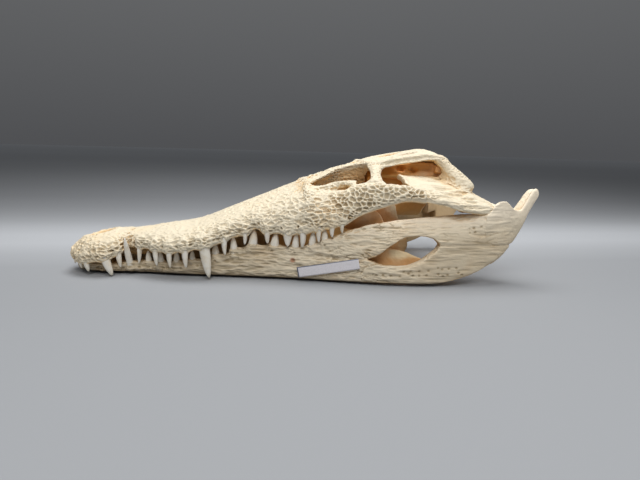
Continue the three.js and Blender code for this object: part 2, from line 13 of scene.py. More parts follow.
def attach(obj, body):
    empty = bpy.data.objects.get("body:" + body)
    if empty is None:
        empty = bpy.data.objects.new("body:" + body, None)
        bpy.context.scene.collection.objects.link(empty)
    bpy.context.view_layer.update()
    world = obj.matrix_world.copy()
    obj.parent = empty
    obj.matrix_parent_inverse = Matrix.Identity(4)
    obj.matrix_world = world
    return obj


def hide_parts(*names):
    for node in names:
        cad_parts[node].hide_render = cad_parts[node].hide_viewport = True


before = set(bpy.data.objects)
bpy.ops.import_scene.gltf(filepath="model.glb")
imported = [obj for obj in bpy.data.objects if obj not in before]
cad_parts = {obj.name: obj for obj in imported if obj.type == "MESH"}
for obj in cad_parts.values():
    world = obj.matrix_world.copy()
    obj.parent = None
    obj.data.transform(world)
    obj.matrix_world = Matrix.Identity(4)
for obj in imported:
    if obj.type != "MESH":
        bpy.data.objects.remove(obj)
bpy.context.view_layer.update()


# --------------------------------------------------------------------------------------------------
# Camera: it stands low before the animal's left side, level with the top of the skull, and is turned a
# little towards the neck.

EYE = Vector((-0.0464, -0.4421, 0.121))
YAW = math.radians(9)
PITCH = math.radians(11.8)
ROLL = math.radians(1.6)
LENS_MM = 24.75
SENSOR_MM = 36


def shown(name, data):
    """A new object in the scene."""
    thing = bpy.data.objects.new(name, data)
    bpy.context.scene.collection.objects.link(thing)
    return thing


camera_data = bpy.data.cameras.new("camera")
camera_data.lens = LENS_MM
camera_data.sensor_width = SENSOR_MM
camera_data.clip_start = 0.01
camera = shown("camera", camera_data)
ahead = Vector((math.sin(YAW) * math.cos(PITCH), math.cos(YAW) * math.cos(PITCH), -math.sin(PITCH)))
level_right = Vector((math.cos(YAW), -math.sin(YAW), 0))
level_up = level_right.cross(ahead)
right = level_right * math.cos(ROLL) + level_up * math.sin(ROLL)
up = level_up * math.cos(ROLL) - level_right * math.sin(ROLL)
camera.matrix_world = Matrix.Translation(EYE) @ Matrix((right, up, -ahead)).transposed().to_4x4()
bpy.context.scene.camera = camera


# --------------------------------------------------------------------------------------------------
# Table and light: a wide matt table top whose colour is painted palest round the skull, a painted pool of
# light, under one large soft light from above and another from the front.

TABLE_RADIUS = 14.0
TABLE_DROP = 0.0002  # keeps the table top just under the bone that lies on it


class Shade:
    """A socket of one material's node tree. Arithmetic on shades adds Math nodes."""

    def __init__(self, tree, socket=None):
        self.tree = tree
        self.socket = socket

    def node(self, kind, values=(), output=0, stops=(), **settings):
        made = self.tree.nodes.new(kind)
        for name, value in settings.items():
            setattr(made, name, value)
        for i, (place, colour) in enumerate(stops):
            elements = made.color_ramp.elements
            element = elements[i] if i < 2 else elements.new(place)
            element.position = place
            element.color = colour
        for key, value in dict(values).items():
            if isinstance(value, Shade):
                self.tree.links.new(value.socket, made.inputs[key])
            else:
                made.inputs[key].default_value = value
        return Shade(self.tree, made.outputs[output])

    def math(self, operation, *values):
        return self.node("ShaderNodeMath", enumerate(values), operation=operation)

    def __add__(self, other):
        return self.math("ADD", self, other)

    def __sub__(self, other):
        return self.math("SUBTRACT", self, other)

    def __rsub__(self, other):
        return self.math("SUBTRACT", other, self)

    def __mul__(self, other):
        return self.math("MULTIPLY", self, other)

    __radd__ = __add__
    __rmul__ = __mul__

    def between(self, low, high):
        """0 where this is at low or less, 1 at high or more, and smooth between."""
        values = {"Value": self, "From Min": low, "From Max": high}
        return self.node("ShaderNodeMapRange", values, interpolation_type="SMOOTHSTEP")

    def mix(self, first, second, blend_type="MIX"):
        """The colour first where this is 0 and second where it is 1."""
        values = {0: self, 6: first, 7: second}
        return self.node("ShaderNodeMix", values, output=2, data_type="RGBA", blend_type=blend_type)

    def noise(self, place, scale, detail, **more):
        return self.node("ShaderNodeTexNoise", {"Vector": place, "Scale": scale, "Detail": detail, **more})

    def along(self, axis):
        return self.node("ShaderNodeSeparateXYZ", {0: self}, output=axis)

    def feed(self, shader, name):
        self.tree.links.new(self.socket, shader.inputs[name])


def material_tree(name):
    material = bpy.data.materials.new(name)
    material.use_nodes = True
    shader = material.node_tree.nodes["Principled BSDF"]
    return material, shader, Shade(material.node_tree)


table_material, table_shader, tone = material_tree("table_top")
distance = tone.node("ShaderNodeTexCoord", output="Object").along("Y")
# Painted light: the table is painted palest just behind the skull and darker before and further behind it.
TABLE_PAINTED_LIGHT = (
    (-0.1, 0.345), (0.0, 0.355), (0.08, 0.45), (0.14, 0.56), (0.21, 0.5), (0.3, 0.37), (0.42, 0.3),
    (0.6, 0.27), (0.85, 0.28), (1.3, 0.33), (2.2, 0.42), (4.5, 0.54), (13.0, 0.68),
)  # how pale the table is, from before the skull to far behind it
table_stops = [((y - TABLE_PAINTED_LIGHT[0][0]) / TABLE_RADIUS, (t * 0.97, t, t * 1.045, 1)) for y, t in TABLE_PAINTED_LIGHT]
reach = (distance - TABLE_PAINTED_LIGHT[0][0]) * (1 / TABLE_RADIUS)
reach.node("ShaderNodeValToRGB", {"Fac": reach}, stops=table_stops).feed(table_shader, "Base Color")
table_shader.inputs["Roughness"].default_value = 0.8
table_shader.inputs["Specular IOR Level"].default_value = 0.0

table_mesh = bpy.data.meshes.new("table_top")
TABLE_CORNERS = 96
rim = [2 * math.pi * i / TABLE_CORNERS for i in range(TABLE_CORNERS)]
table_points = [(TABLE_RADIUS * math.cos(a), TABLE_RADIUS * math.sin(a), -TABLE_DROP) for a in rim]
table_mesh.from_pydata(table_points, [], [list(range(TABLE_CORNERS))])
table_mesh.materials.append(table_material)
table_top = shown("table_top", table_mesh)


def soft_light(name, place, aim, size, watts):
    data = bpy.data.lights.new(name, "AREA")
    data.shape = "RECTANGLE"
    data.size, data.size_y = size
    data.energy = watts
    turn = (Vector(aim) - Vector(place)).to_track_quat("-Z", "Y").to_matrix().to_4x4()
    shown(name, data).matrix_world = Matrix.Translation(place) @ turn


soft_light("overhead", (0.08, 0.05, 1.15), (0.0, 0.0, 0.0), (0.8, 0.6), 10.6)
soft_light("front", (-0.05, -0.9, 1.1), (0.0, 0.0, 0.05), (0.9, 0.6), 10.4)

world = bpy.data.worlds.new("room")
world.use_nodes = True
room = world.node_tree.nodes["Background"]
sky = Shade(world.node_tree)
height = sky.node("ShaderNodeTexCoord", output="Generated").along("Z")
sky_stops = [(0.0, (0.08, 0.082, 0.087, 1)), (0.35, (0.135, 0.138, 0.142, 1))]
sky.node("ShaderNodeValToRGB", {"Fac": height}, stops=sky_stops).feed(room, "Color")
room.inputs["Strength"].default_value = 1.0
bpy.context.scene.world = world
bpy.context.scene.view_settings.view_transform = "Standard"


# --------------------------------------------------------------------------------------------------
# The upper skull's form: in life its bones have grown together into one vault, so the form is one solid
# that the bones are then parted from along their sutures. Only the right half is worked out; both sides
# come from it.

STEP = 0.65  # spacing of the points at which the form is worked out
BAND = 6.0  # how far from the surface its distance is known
SEAM = -1.2  # below 0: grown-together bones reach this far into each other
lattice = openvdb.createLinearTransform(voxelSize=STEP)


def curve_through(*knots):
    """A smooth curve through knots of x and value, flat beyond its ends."""
    xs, values = np.array(knots, float).T
    rise = np.diff(values) / np.diff(xs)
    slope = np.concatenate([rise[:1], np.zeros(len(xs) - 2), rise[-1:]])
    same = rise[:-1] * rise[1:] > 0
    slope[1:-1][same] = 2 * rise[:-1][same] * rise[1:][same] / (rise[:-1] + rise[1:])[same]

    def value(x):
        x = np.clip(x, xs[0], xs[-1])
        i = np.clip(np.searchsorted(xs, x, side="right") - 1, 0, len(xs) - 2)
        span = xs[i + 1] - xs[i]
        t = (x - xs[i]) / span
        gain = values[i + 1] - values[i]
        bend = slope[i] * span - gain
        ease = gain - slope[i + 1] * span
        return values[i] + gain * t + t * (1 - t) * (bend * (1 - t) + ease * t)

    return value


def step_between(low, high, value):
    """0 up to low, 1 from high on, and smooth between."""
    t = np.clip((value - low) / (high - low), 0, 1)
    return t * t * (3 - 2 * t)


def spline(points, share, closed):
    """A smooth line through points, with this many steps between two of them."""
    p = np.asarray(points, float)
    if not closed:
        p = np.concatenate([2 * p[:1] - p[1:2], p, 2 * p[-1:] - p[-2:-1]])
    a, b, c, d = (np.roll(p, shift, 0)[:, None] for shift in (1, 0, -1, -2))
    t = (np.arange(share) / share)[None, :, None]
    line = 0.5 * (2 * b + (c - a) * t + (2 * a - 5 * b + 4 * c - d) * t**2 + (3 * b - a - 3 * c + d) * t**3)
    if closed:
        return line.reshape(-1, p.shape[1])
    return np.concatenate([line[1:-2].reshape(-1, p.shape[1]), p[-2:-1]])


class Lump:
    """A closed skin over rings of points, as a field of distances. It blends in over the width blend."""

    def __init__(self, rings, blend):
        rings = np.asarray(rings)
        count, corners, _ = rings.shape
        i, j = np.meshgrid(np.arange(count - 1), np.arange(corners), indexing="ij")
        first = i * corners + j
        second = i * corners + (j + 1) % corners
        sides = np.stack([first, second, second + corners, first + corners], -1).reshape(-1, 4)
        edge = np.arange(corners)
        fans = [
            np.stack([start + edge, start + (edge + 1) % corners, np.full(corners, middle)], -1)
            for start, middle in ((0, count * corners), ((count - 1) * corners, count * corners + 1))
        ]
        middles = [rings[0].mean(0), rings[-1].mean(0)]
        points = np.concatenate([rings.reshape(-1, 3), middles])
        self.low = points.min(0) - BAND
        self.high = points.max(0) + BAND
        self.blend = blend
        self.grid = openvdb.FloatGrid.createLevelSetFromPolygons(
            points.astype(np.float32), triangles=np.concatenate(fans).astype(np.uint32),
            quads=sides.astype(np.uint32), transform=lattice, halfWidth=BAND / STEP,
        )

    def distance(self, block):
        field = np.full(block.shape, BAND, np.float32)
        self.grid.copyToArray(field, ijk=tuple(int(v) for v in block.first))
        return field


class Block:
    """Evenly spaced points over a box, all on the skull's one lattice."""

    def __init__(self, low, high):
        self.first = np.floor(np.array(low) / STEP).astype(int)
        self.shape = tuple(np.ceil(np.array(high) / STEP).astype(int) - self.first + 1)
        axes = [(self.first[k] + np.arange(self.shape[k])) * STEP for k in range(3)]
        self.x, self.out, self.z = (
            axes[k].astype(np.float32).reshape([-1 if n == k else 1 for n in range(3)]) for k in range(3)
        )
        self.low = self.first * STEP
        self.high = self.low + (np.array(self.shape) - 1) * STEP


def along_x(start, end, slice_at, blend, step=2.5, share=4):
    """A lump drawn by slice_at(x), which gives a slice's corners as (out, z)."""
    rings = []
    for x in np.linspace(start, end, max(2, round((end - start) / step) + 1)):
        ring = spline(slice_at(x), share, True)
        rings.append(np.column_stack([np.full(len(ring), x), ring]))
    return Lump(rings, blend)


def rod(stops, flat, blend, sides=16, share=4):
    """A lump of oval section along stops of (x, out, z, wide, thick). Its wide side lies along flat."""
    line = spline(stops, share, False)
    places = line[:, :3]
    along = np.gradient(places, axis=0)
    along /= np.linalg.norm(along, axis=1)[:, None]
    thin = np.cross(along, np.array(flat, float))
    thin /= np.linalg.norm(thin, axis=1)[:, None]
    wide = np.cross(thin, along)
    turn = 2 * np.pi * np.arange(sides) / sides
    rings = (
        places[:, None]
        + wide[:, None] * (np.cos(turn)[None, :] * line[:, 3:4])[..., None]
        + thin[:, None] * (np.sin(turn)[None, :] * line[:, 4:5])[..., None]
    )
    return Lump(rings, blend)


class Ball:
    """An ellipsoid, as a field of distances."""

    def __init__(self, middle, radii, blend):
        self.middle = np.array(middle, float)
        self.radii = np.array(radii, float)
        self.low = self.middle - self.radii - BAND
        self.high = self.middle + self.radii + BAND
        self.blend = blend

    def distance(self, block):
        axes = (block.x, block.out, block.z)
        across = [(axis - c) / r for axis, c, r in zip(axes, self.middle, self.radii)]
        size = np.sqrt(across[0] ** 2 + across[1] ** 2 + across[2] ** 2)
        slope = np.sqrt(sum((a / r) ** 2 for a, r in zip(across, self.radii)))
        field = np.where(slope > 0.01, size * (size - 1) / np.maximum(slope, 0.01), -self.radii.min())
        return np.clip(field, -BAND, BAND).astype(np.float32)


def window(block, lump):
    """The part of a block that a lump can touch, as a smaller block and its place in the larger, or None."""
    low = np.maximum(block.low, lump.low)
    high = np.minimum(block.high, lump.high)
    if np.any(high - low < STEP):
        return None, None
    part = Block(low, high)
    shift = part.first - block.first
    shift = np.maximum(shift, 0)
    part.first = block.first + shift
    place = tuple(slice(s, min(s + n, m)) for s, n, m in zip(shift, part.shape, block.shape))
    part.shape = tuple(p.stop - p.start for p in place)
    part.x, part.out, part.z = block.x[place[0]], block.out[:, place[1]], block.z[:, :, place[2]]
    return part, place


def blended(old, new, width, sign):
    """Two fields joined, where sign is 1, or what they share, where it is -1, with a rounded edge."""
    share = np.clip(0.5 + 0.5 * sign * (old - new) / width, 0, 1)
    return old + (new - old) * share - sign * width * share * (1 - share)


def joined(block, lumps, cuts=()):
    """The field of all lumps blended into each other, with the cuts taken out."""
    field = np.full(block.shape, BAND, np.float32)
    for sign, lump in [(1, lump) for lump in lumps] + [(-1, cut) for cut in cuts]:
        part, place = window(block, lump)
        if part is not None:
            field[place] = blended(field[place], sign * lump.distance(part), lump.blend, sign)
    return field


def softened(field, passes=2):
    """The field averaged with its neighbours, which rounds every edge a little."""
    for _ in range(passes):
        for axis in range(3):
            field = np.moveaxis(field, axis, 0)
            field[1:-1] = 0.25 * field[:-2] + 0.5 * field[1:-1] + 0.25 * field[2:]
            field = np.moveaxis(field, 0, axis)
    return field


SNOUT_TIP_X = -214.5
NOTCH_X = -159
FACE_END_X = 4
TABLE_FRONT_X = 64
TABLE_REAR_X = 134
CHEEK_ENDS = (2, 104)
QUADRATE_ENDS = (89, 170)
PALATE_VAULT = 5

upper_half_width = curve_through(
    (SNOUT_TIP_X, 4), (-211, 12), (-204, 20), (-195, 27), (-185, 30.5), (-176, 30.5), (-168, 26.5),
    (NOTCH_X, 21), (-149, 26.5), (-136, 35), (-120, 42), (-100, 47), (-84, 47.5), (-60, 46), (-35, 50),
    (0, 58.5), (40, 67.5), (80, 76), (120, 81.5), (142, 82.5), (170, 81),
)
tooth_line = curve_through(
    (SNOUT_TIP_X, 16), (-207, 12), (-190, 13), (-172, 18), (-161, 25), (-145, 26), (-123, 24), (-100, 27.5),
    (-85, 30), (-66, 38), (-54, 41), (-43, 47), (-34, 44), (-15, 43), (5, 46.5), (35, 55), (52, 65),
)
snout_top = curve_through(
    (SNOUT_TIP_X, 23.5), (-211.5, 27), (-205, 31.5), (-190, 36.5), (-171, 39.8), (-150, 41), (-128, 44),
    (-104, 47), (-90, 51), (-70, 59.3), (-40, 71.3), (0, 86.5), (22, 95.8), (38, 102.5), (52, 106.5),
    (TABLE_FRONT_X, 109.5),
)
INSIDE = -3  # half slices reach this far past the midline
SNOUT_FLANK = (
    (0.5, 0, 0.8), (0.8, 0, 0), (0.95, 0.04, 0), (1, 0.24, 0), (0.97, 0.52, 0), (0.83, 0.78, 0),
    (0.56, 0.94, 0), (0.28, 0.99, 0),
)


def snout_slice(x):
    half, low, high = upper_half_width(x), tooth_line(x), snout_top(x)
    vault = PALATE_VAULT * min(1, half / 20)
    flank = [(across * half, low + rise * (high - low) + arch * vault) for across, rise, arch in SNOUT_FLANK]
    return [(INSIDE, low + vault), *flank, (INSIDE, high)]


cheek_low_z = curve_through(
    (2, 46), (20, 51), (38, 55.7), (49, 62.5), (63, 68.5), (77, 73.5), (90, 76.5), (104, 76),
)
cheek_top_out = curve_through((2, 34), (12, 38), (24, 46), (38, 54), (50, 59), (66, 65), (88, 70), (104, 73))
cheek_top_z = curve_through((2, 85), (22, 83), (36, 85), (46, 90.5), (60, 92.3), (88, 91), (104, 88))
cheek_thickness = curve_through((2, 9), (30, 6.5), (60, 5), (90, 4.2), (104, 4))


def cheek_slice(x):
    half, outer, low = cheek_thickness(x), upper_half_width(x), cheek_low_z(x)
    top_out, top_z = cheek_top_out(x), cheek_top_z(x)
    middle = low + 0.45 * (top_z - low)
    return [
        (outer - 4, low), (outer, low + 4), (outer, middle), ((outer + top_out) / 2 + 2, top_z - 4),
        (top_out + 2, top_z), (top_out - 2, top_z - 1), (top_out - half, top_z - 7),
        (outer - 2.4 * half, middle), (outer - 2.4 * half, low + 4), (outer - 1.6 * half, low + 1),
    ]


frontal_half_width = curve_through(
    (FACE_END_X, 32), (9, 30), (21, 22), (30, 16), (44, 11), (54, 14), (60, 22), (66, 33), (72, 37)
)


def frontal_slice(x):
    half, top = frontal_half_width(x), snout_top(x)
    keel = min(top - 12, 86 + 0.03 * x)
    return [
        (INSIDE, top - 2), (half * 0.55, top - 1.8), (half * 0.85, top + 0.1), (half, top - 0.4),
        (half - 1, top - 2.6), (half * 0.55, 0.4 * top + 0.6 * keel), (half * 0.25, keel),
        (INSIDE, keel - 1),
    ]


table_half_width = curve_through((TABLE_FRONT_X, 33), (74, 37), (92, 40), (115, 45), (TABLE_REAR_X, 49))
table_top_z = curve_through(
    (TABLE_FRONT_X, 110.3), (74, 112.3), (84, 114), (102, 117.3), (115, 119), (123, 119), (130, 117),
    (134, 114.5)
)
table_lip_drop = curve_through(
    (TABLE_FRONT_X, 8), (80, 8.4), (90, 7.6), (104, 7.8), (122, 6.4), (TABLE_REAR_X, 6),
)
table_crest = curve_through((98, 0), (118, 3.6), (126, 5.2), (134, 5.6))


def table_slice(x):
    half, top, lip = table_half_width(x), table_top_z(x), table_lip_drop(x)
    crest, corner = table_crest(x), 2 * step_between(86, 64, x)
    return [
        (INSIDE, top - 1.6 + crest), (half * 0.45, top - 0.6 + 0.7 * crest), (half * 0.85, top - corner),
        (half - 0.5, top - 0.8 - corner), (half + 0.2, top - 2.4 - corner), (half - 1.2, top - 4.2),
        (half + 1.2, top - lip + 1.8), (half + 1.4, top - lip + 0.6), (half - 1.5, top - lip),
        (half - 7, top - 7.5), (half * 0.5, top - 7), (INSIDE, top - 7),
    ]


quadrate_inner_out = curve_through((84, 40), (120, 40), (140, 46), (156, 53), (172, 58))
quadrate_inner_z = curve_through((84, 99), (96, 96), (120, 96), (136, 94), (148, 89), (158, 81.5), (170, 73))
quadrate_outer_out = curve_through((84, 54), (90, 66), (96, 75), (120, 80), (150, 81), (174, 78))
quadrate_outer_z = curve_through(
    (84, 97), (90, 90), (96, 83), (120, 77.5), (142, 72.5), (156, 70.5), (170, 69),
)


def quadrate_slice(x):
    half = 3.4 + 1.2 * max(0, (x - 130) / 40)
    inner, inner_z = quadrate_inner_out(x), quadrate_inner_z(x)
    outer, outer_z = quadrate_outer_out(x), quadrate_outer_z(x)
    middle, middle_z = (inner + outer) / 2, (inner_z + outer_z) / 2 + 2.5
    return [
        (inner, inner_z + half * 0.6), (middle, middle_z + half * 0.7), (outer - 2, outer_z + half),
        (outer, outer_z + half * 0.4), (outer, outer_z - half * 0.5), (outer - 4, outer_z - half),
        (middle - 2, middle_z - half), (inner, inner_z - half),
    ]


def quadrate_top(x, out):
    """Height of the quadrate's upper side."""
    inner, outer = quadrate_inner_out(x), quadrate_outer_out(x)
    share = np.clip((out - inner) / (outer - inner), 0, 1)
    return quadrate_inner_z(x) * (1 - share) + quadrate_outer_z(x) * share + 9 * share * (1 - share) + 2.4


# [x at the neck, tip z, neck radius, lean of the tip along X, lean outwards where it is more than usual]
PREMAXILLA_TEETH = (
    (-211, 9, 1.8, 0), (-204.4, 6.5, 2.2, 1.6), (-198, 4.6, 2.8, 2.6), (-180, 2.2, 4, 6),
    (-168.7, 9, 2.9, 2),
)
MAXILLA_TEETH = (
    (-148.8, 12.6, 2.3, -1.4), (-133.8, 12.6, 2.9, 1.2), (-120.8, 12, 2.9, 1), (-106.2, 13, 3.4, 1),
    (-89.4, 4.3, 4.8, 4), (-71.5, 24.6, 2.9, 1), (-52.4, 34, 2.7, -0.5), (-32.6, 35.6, 3.4, 0.5),
    (-14.2, 33.6, 3.9, 0), (-0.8, 33.8, 3.9, -0.6), (12.8, 39, 3, 0.6), (24, 43.8, 2.7, 0.9),
    (32.8, 48, 2.4, 0.7),
)
DENTARY_TEETH = (
    (-205, 15, 2.6, -2), (-195, 15, 2.2, -1), (-184, 16, 2.2, 0), (-158.6, 34, 3, -2, 6),
    (-142.2, 22, 2.9, 0), (-130.2, 22, 2.8, -0.6), (-115.8, 23.4, 3, 0), (-101.1, 24, 2.9, 0),
    (-79.8, 30.5, 3.7, 0), (-62.6, 38, 3.4, -0.8), (-46, 45, 4.2, 1.8), (-26.2, 43, 4, 1.6),
    (-7.1, 43.5, 3.4, 0.9), (8.1, 46, 3.4, 0.7), (19.5, 49.6, 3.2, -1.2),
)


def upper_tooth_out(x, radius):
    return upper_half_width(x) - 1 - 0.6 * radius


upper_sockets = [
    Ball((x, upper_tooth_out(x, r), tooth_line(x) + 5), (r + 1.9, r + 1.2, 5.5 + 0.4 * r), 4)
    for x, _, r, *_ in PREMAXILLA_TEETH + MAXILLA_TEETH
]
nostril_rim = rod(
    [(-188 + 15.5 * math.cos(a), 11.5 * math.sin(a), 34.6 + 4.2 * math.cos(a), 2, 1.8)
     for a in np.linspace(-0.3, 3.44, 9)],
    (0, 0, 1), 3,
)
table_horn = rod(
    [
        (127, 44, 113.2, 4, 3), (135, 48, 106, 5, 5), (142, 52.5, 99, 5.6, 6), (149, 57, 92.5, 5.6, 5.6),
        (152.5, 58.8, 89.8, 4.6, 4.4), (155.5, 60.2, 87.6, 2.4, 2.4),
    ],
    (0, 0, 1), 5,
)
eye_bar = rod(
    [
        (69, 33, 105.5, 8, 3.5), (67.5, 41, 102.5, 6, 3.4), (65.5, 50, 98.5, 4.8, 3.2),
        (64, 58, 95, 5.6, 3.2), (63, 62, 92, 8, 3.4),
    ],
    (1, 0, 0), 4,
)
joint_heads = [Ball((164, 61, 72.5), (7, 7, 5.5), 3), Ball((163, 73, 71.5), (6.5, 6.5, 5), 3)]
joint_neck = rod([(145, 58, 71, 5, 4), (155, 60, 70, 6, 5), (164, 61, 71, 6, 6)], (0, 0, 1), 3)
horn_root = rod(
    [(133, 43, 100, 8, 4), (138, 49, 95, 8, 6), (144, 54, 90, 8, 7.5), (151, 58, 85, 6, 7)],
    (0, 0, 1), 5,
)
eye_socket_rim = rod(
    [
        (6, 33, 81, 5, 4), (16, 39.5, 83, 5, 4), (28, 42, 86.5, 5, 4), (40, 47, 89.5, 5, 3.4),
        (48, 50, 90, 4, 3),
    ],
    (0, 1, 0.4), 5,
)
front_palate = Ball((-152, 0, 23), (20, 13, 8.5), 5)
vault_lumps = [
    along_x(SNOUT_TIP_X, FACE_END_X + 4, snout_slice, 5), *upper_sockets, nostril_rim,
    along_x(*CHEEK_ENDS, cheek_slice, 5), along_x(FACE_END_X, TABLE_FRONT_X + 3, frontal_slice, 5), eye_bar,
    along_x(TABLE_FRONT_X, TABLE_REAR_X, table_slice, 4), table_horn,
    along_x(*QUADRATE_ENDS, quadrate_slice, 3), *joint_heads, joint_neck, horn_root, eye_socket_rim,
    front_palate,
]
notch_pits = [  # the first lower teeth stand in them
    rod(
        [
            (x, upper_half_width(x) * 0.62, 0, 4.6, 4.6),
            (x + lean, upper_half_width(x) * 0.62, tip + 3, 3, 3),
        ],
        (1, 0, 0), 2,
    )
    for x, tip, _, lean, *_ in DENTARY_TEETH[:3]
]
nostril = Ball((-188, 0, 41), (13, 10, 16), 2)
palate_opening = Ball((26, 29, 50), (54, 14, 24), 3)
roof_hole = rod([(99, 20, 104, 14, 9.5), (99, 20, 126, 14.5, 10)], (1, 0, 0), 2, sides=28)
vault_cuts = [nostril, palate_opening, *notch_pits, roof_hole]


def vault(block):
    return joined(block, vault_lumps, vault_cuts)


# --------------------------------------------------------------------------------------------------
# Premaxilla: the two grown-together bones at the snout's tip, with the nostril in the middle and five
# teeth a side. It is rough and full of small holes for nerves.

def suture(*places):
    """A wavy line of a growing bone's edge, as a small shift that depends on the places."""
    total = 0
    for i, place in enumerate(places):
        total = total + 0.7 * np.sin(place * (0.75 + 0.2 * i)) + 0.45 * np.sin(place * (1.9 - 0.3 * i) + 1)
    return total


def chance(cell, salt):
    """A number from 0 to 1 for each whole-numbered cell, the same each time."""
    mixed = (cell[:, 0] * 73856093) ^ (cell[:, 1] * 19349663) ^ (cell[:, 2] * 83492791) ^ (salt * 2654435761)
    mixed = ((mixed ^ (mixed >> 15)) * 2246822519) & 0xFFFFFFFF
    mixed = ((mixed ^ (mixed >> 13)) * 3266489917) & 0xFFFFFFFF
    return ((mixed ^ (mixed >> 16)) & 0xFFFFFF) / 0xFFFFFF


def corner_weights(share):
    """A cell's corners, each with its weight for points at this share of the cell's sides."""
    for corner in np.ndindex(2, 2, 2):
        yield np.array(corner), np.prod(np.where(corner, share, 1 - share), axis=1)


def grain(points, size, salt):
    """Smooth noise from -1 to 1 in lumps of this size."""
    spot = points / size
    cell = np.floor(spot).astype(np.int64)
    share = spot - cell
    share = share * share * (3 - 2 * share)
    return 2 * sum(weight * chance(cell + corner, salt) for corner, weight in corner_weights(share)) - 1


def walls(points, size, salt, scatter=1.0):
    """0 on the walls between the cells of a scatter of points, and about 1 in the cells' middles."""
    spot = points / size
    home = np.floor(spot).astype(np.int64)
    nearest = np.full(len(points), 9.0)
    second = nearest.copy()
    for step in np.ndindex(3, 3, 3):
        cell = home + np.array(step) - 1
        centre = cell + 0.5 + scatter * (np.stack([chance(cell, salt + k) for k in range(3)], -1) - 0.5)
        gap = np.linalg.norm(centre - spot, axis=1)
        second = np.minimum(second, np.maximum(nearest, gap))
        nearest = np.minimum(nearest, gap)
    return second - nearest


def outer_side(points, normal):
    """1 on skin that faces outwards or up, 0 on skin that faces inwards or down."""
    return step_between(-0.25, 0.2, normal[:, 1] * np.sign(points[:, 1]) + 0.9 * normal[:, 2])


def sheltered(points):
    """1 on the skin under the skull's roof, along its middle."""
    x = points[:, 0]
    roof = np.maximum(snout_top(x), np.where(x > TABLE_FRONT_X, table_top_z(x), 0))
    under = step_between(3.5, 7, roof - points[:, 2]) * step_between(36, 30, np.abs(points[:, 1]))
    return under * step_between(30, 50, x) * (points[:, 2] > 56)


def outward(points, faces):
    """The direction that each point's skin faces."""
    a, b, c, d = (points[faces[:, k]] for k in range(4))
    face = np.cross(c - a, d - b)
    normal = np.stack(
        [np.bincount(faces.ravel(), np.repeat(face[:, k], 4), minlength=len(points)) for k in range(3)], -1
    )
    return normal / np.maximum(np.linalg.norm(normal, axis=1), 1e-9)[:, None]


def largest(points, faces):
    """The one connected skin with the most points, without stray crumbs."""
    label = np.arange(len(points))
    while True:
        low = label[faces].min(1)
        new = label.copy()
        np.minimum.at(new, faces.ravel(), np.repeat(low, 4))
        new = new[new]
        if np.array_equal(new, label):
            break
        label = new
    keep = label == np.bincount(label).argmax()
    number = np.cumsum(keep) - 1
    return points[keep], number[faces[keep[faces[:, 0]]]]


MM = 0.001
skins = []  # every bone's mesh with its points and outward directions, for the painted closed-in shade


def add_piece(name, points, faces, material, node):
    mesh = bpy.data.meshes.new(name)
    mesh.vertices.add(len(points))
    mesh.vertices.foreach_set("co", (points * MM).astype(np.float32).ravel())
    mesh.loops.add(faces.size)
    mesh.loops.foreach_set("vertex_index", faces.astype(np.int32).ravel())
    mesh.polygons.add(len(faces))
    mesh.polygons.foreach_set("loop_start", np.arange(0, faces.size, 4, dtype=np.int32))
    mesh.polygons.foreach_set("use_smooth", np.full(len(faces), True))
    mesh.update(calc_edges=True)
    mesh.materials.append(material)
    piece = shown(name, mesh)
    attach(piece, "root")
    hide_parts(node)
    return piece


def paint(mesh, name, values):
    mesh.attributes.new(name, "FLOAT", "POINT").data.foreach_set("value", values.astype(np.float32))


def add_bone(name, low, high, form, region, sculpture, material):
    """Parts a bone from a form, sculpts it and adds it: once for a middle bone, or once for each side."""
    middle = low[1] == 0
    block = Block(low, high)
    field = np.maximum(softened(form(block)), region(block))
    first = block.first.copy()
    if middle:
        field = np.concatenate([field[:, :0:-1], field], axis=1)
        first[1] = 1 - block.shape[1]
    else:
        field = np.maximum(field, SEAM - block.out)
    grid = openvdb.FloatGrid(BAND)
    grid.transform = lattice
    grid.copyFromArray(np.pad(field, 1, constant_values=BAND), ijk=tuple(int(v) - 1 for v in first))
    points, faces = grid.convertToQuads()
    points, faces = largest(points.astype(float), faces.astype(np.int64))
    sides = [("", 1)] if middle else [("_left", -1), ("_right", 1)]
    for ending, side in sides:
        own = points * (1, side, 1)
        own_faces = faces[:, ::-1] if side < 0 else faces
        normal = outward(own, own_faces)
        height, hollow_shade = sculpture(own, normal)
        own = own + normal * height[:, None]
        own[:, 2] = np.maximum(own[:, 2], 0.02)
        piece = add_piece(name + ending, own, own_faces, material, name + ending)
        # How deep each point lies in pits and holes, with the jaw's painted shade, for shade painted into
        # the colour.
        paint(piece.data, "hollow_shade", np.clip(hollow_shade, 0, 1))
        # Painted bounced light: skin that faces inwards or down, or lies under the roof, is painted warmer.
        shade = np.maximum(1 - outer_side(own, normal), sheltered(own))
        paint(piece.data, "inner", shade * step_between(0.8, 0.3, normal[:, 0]))
        skins.append((piece.data, own, outward(own, own_faces)))


RUST_SPOT = (-0.0096, -0.0528, 0.0196)  # a small red-brown stain on the left dentary


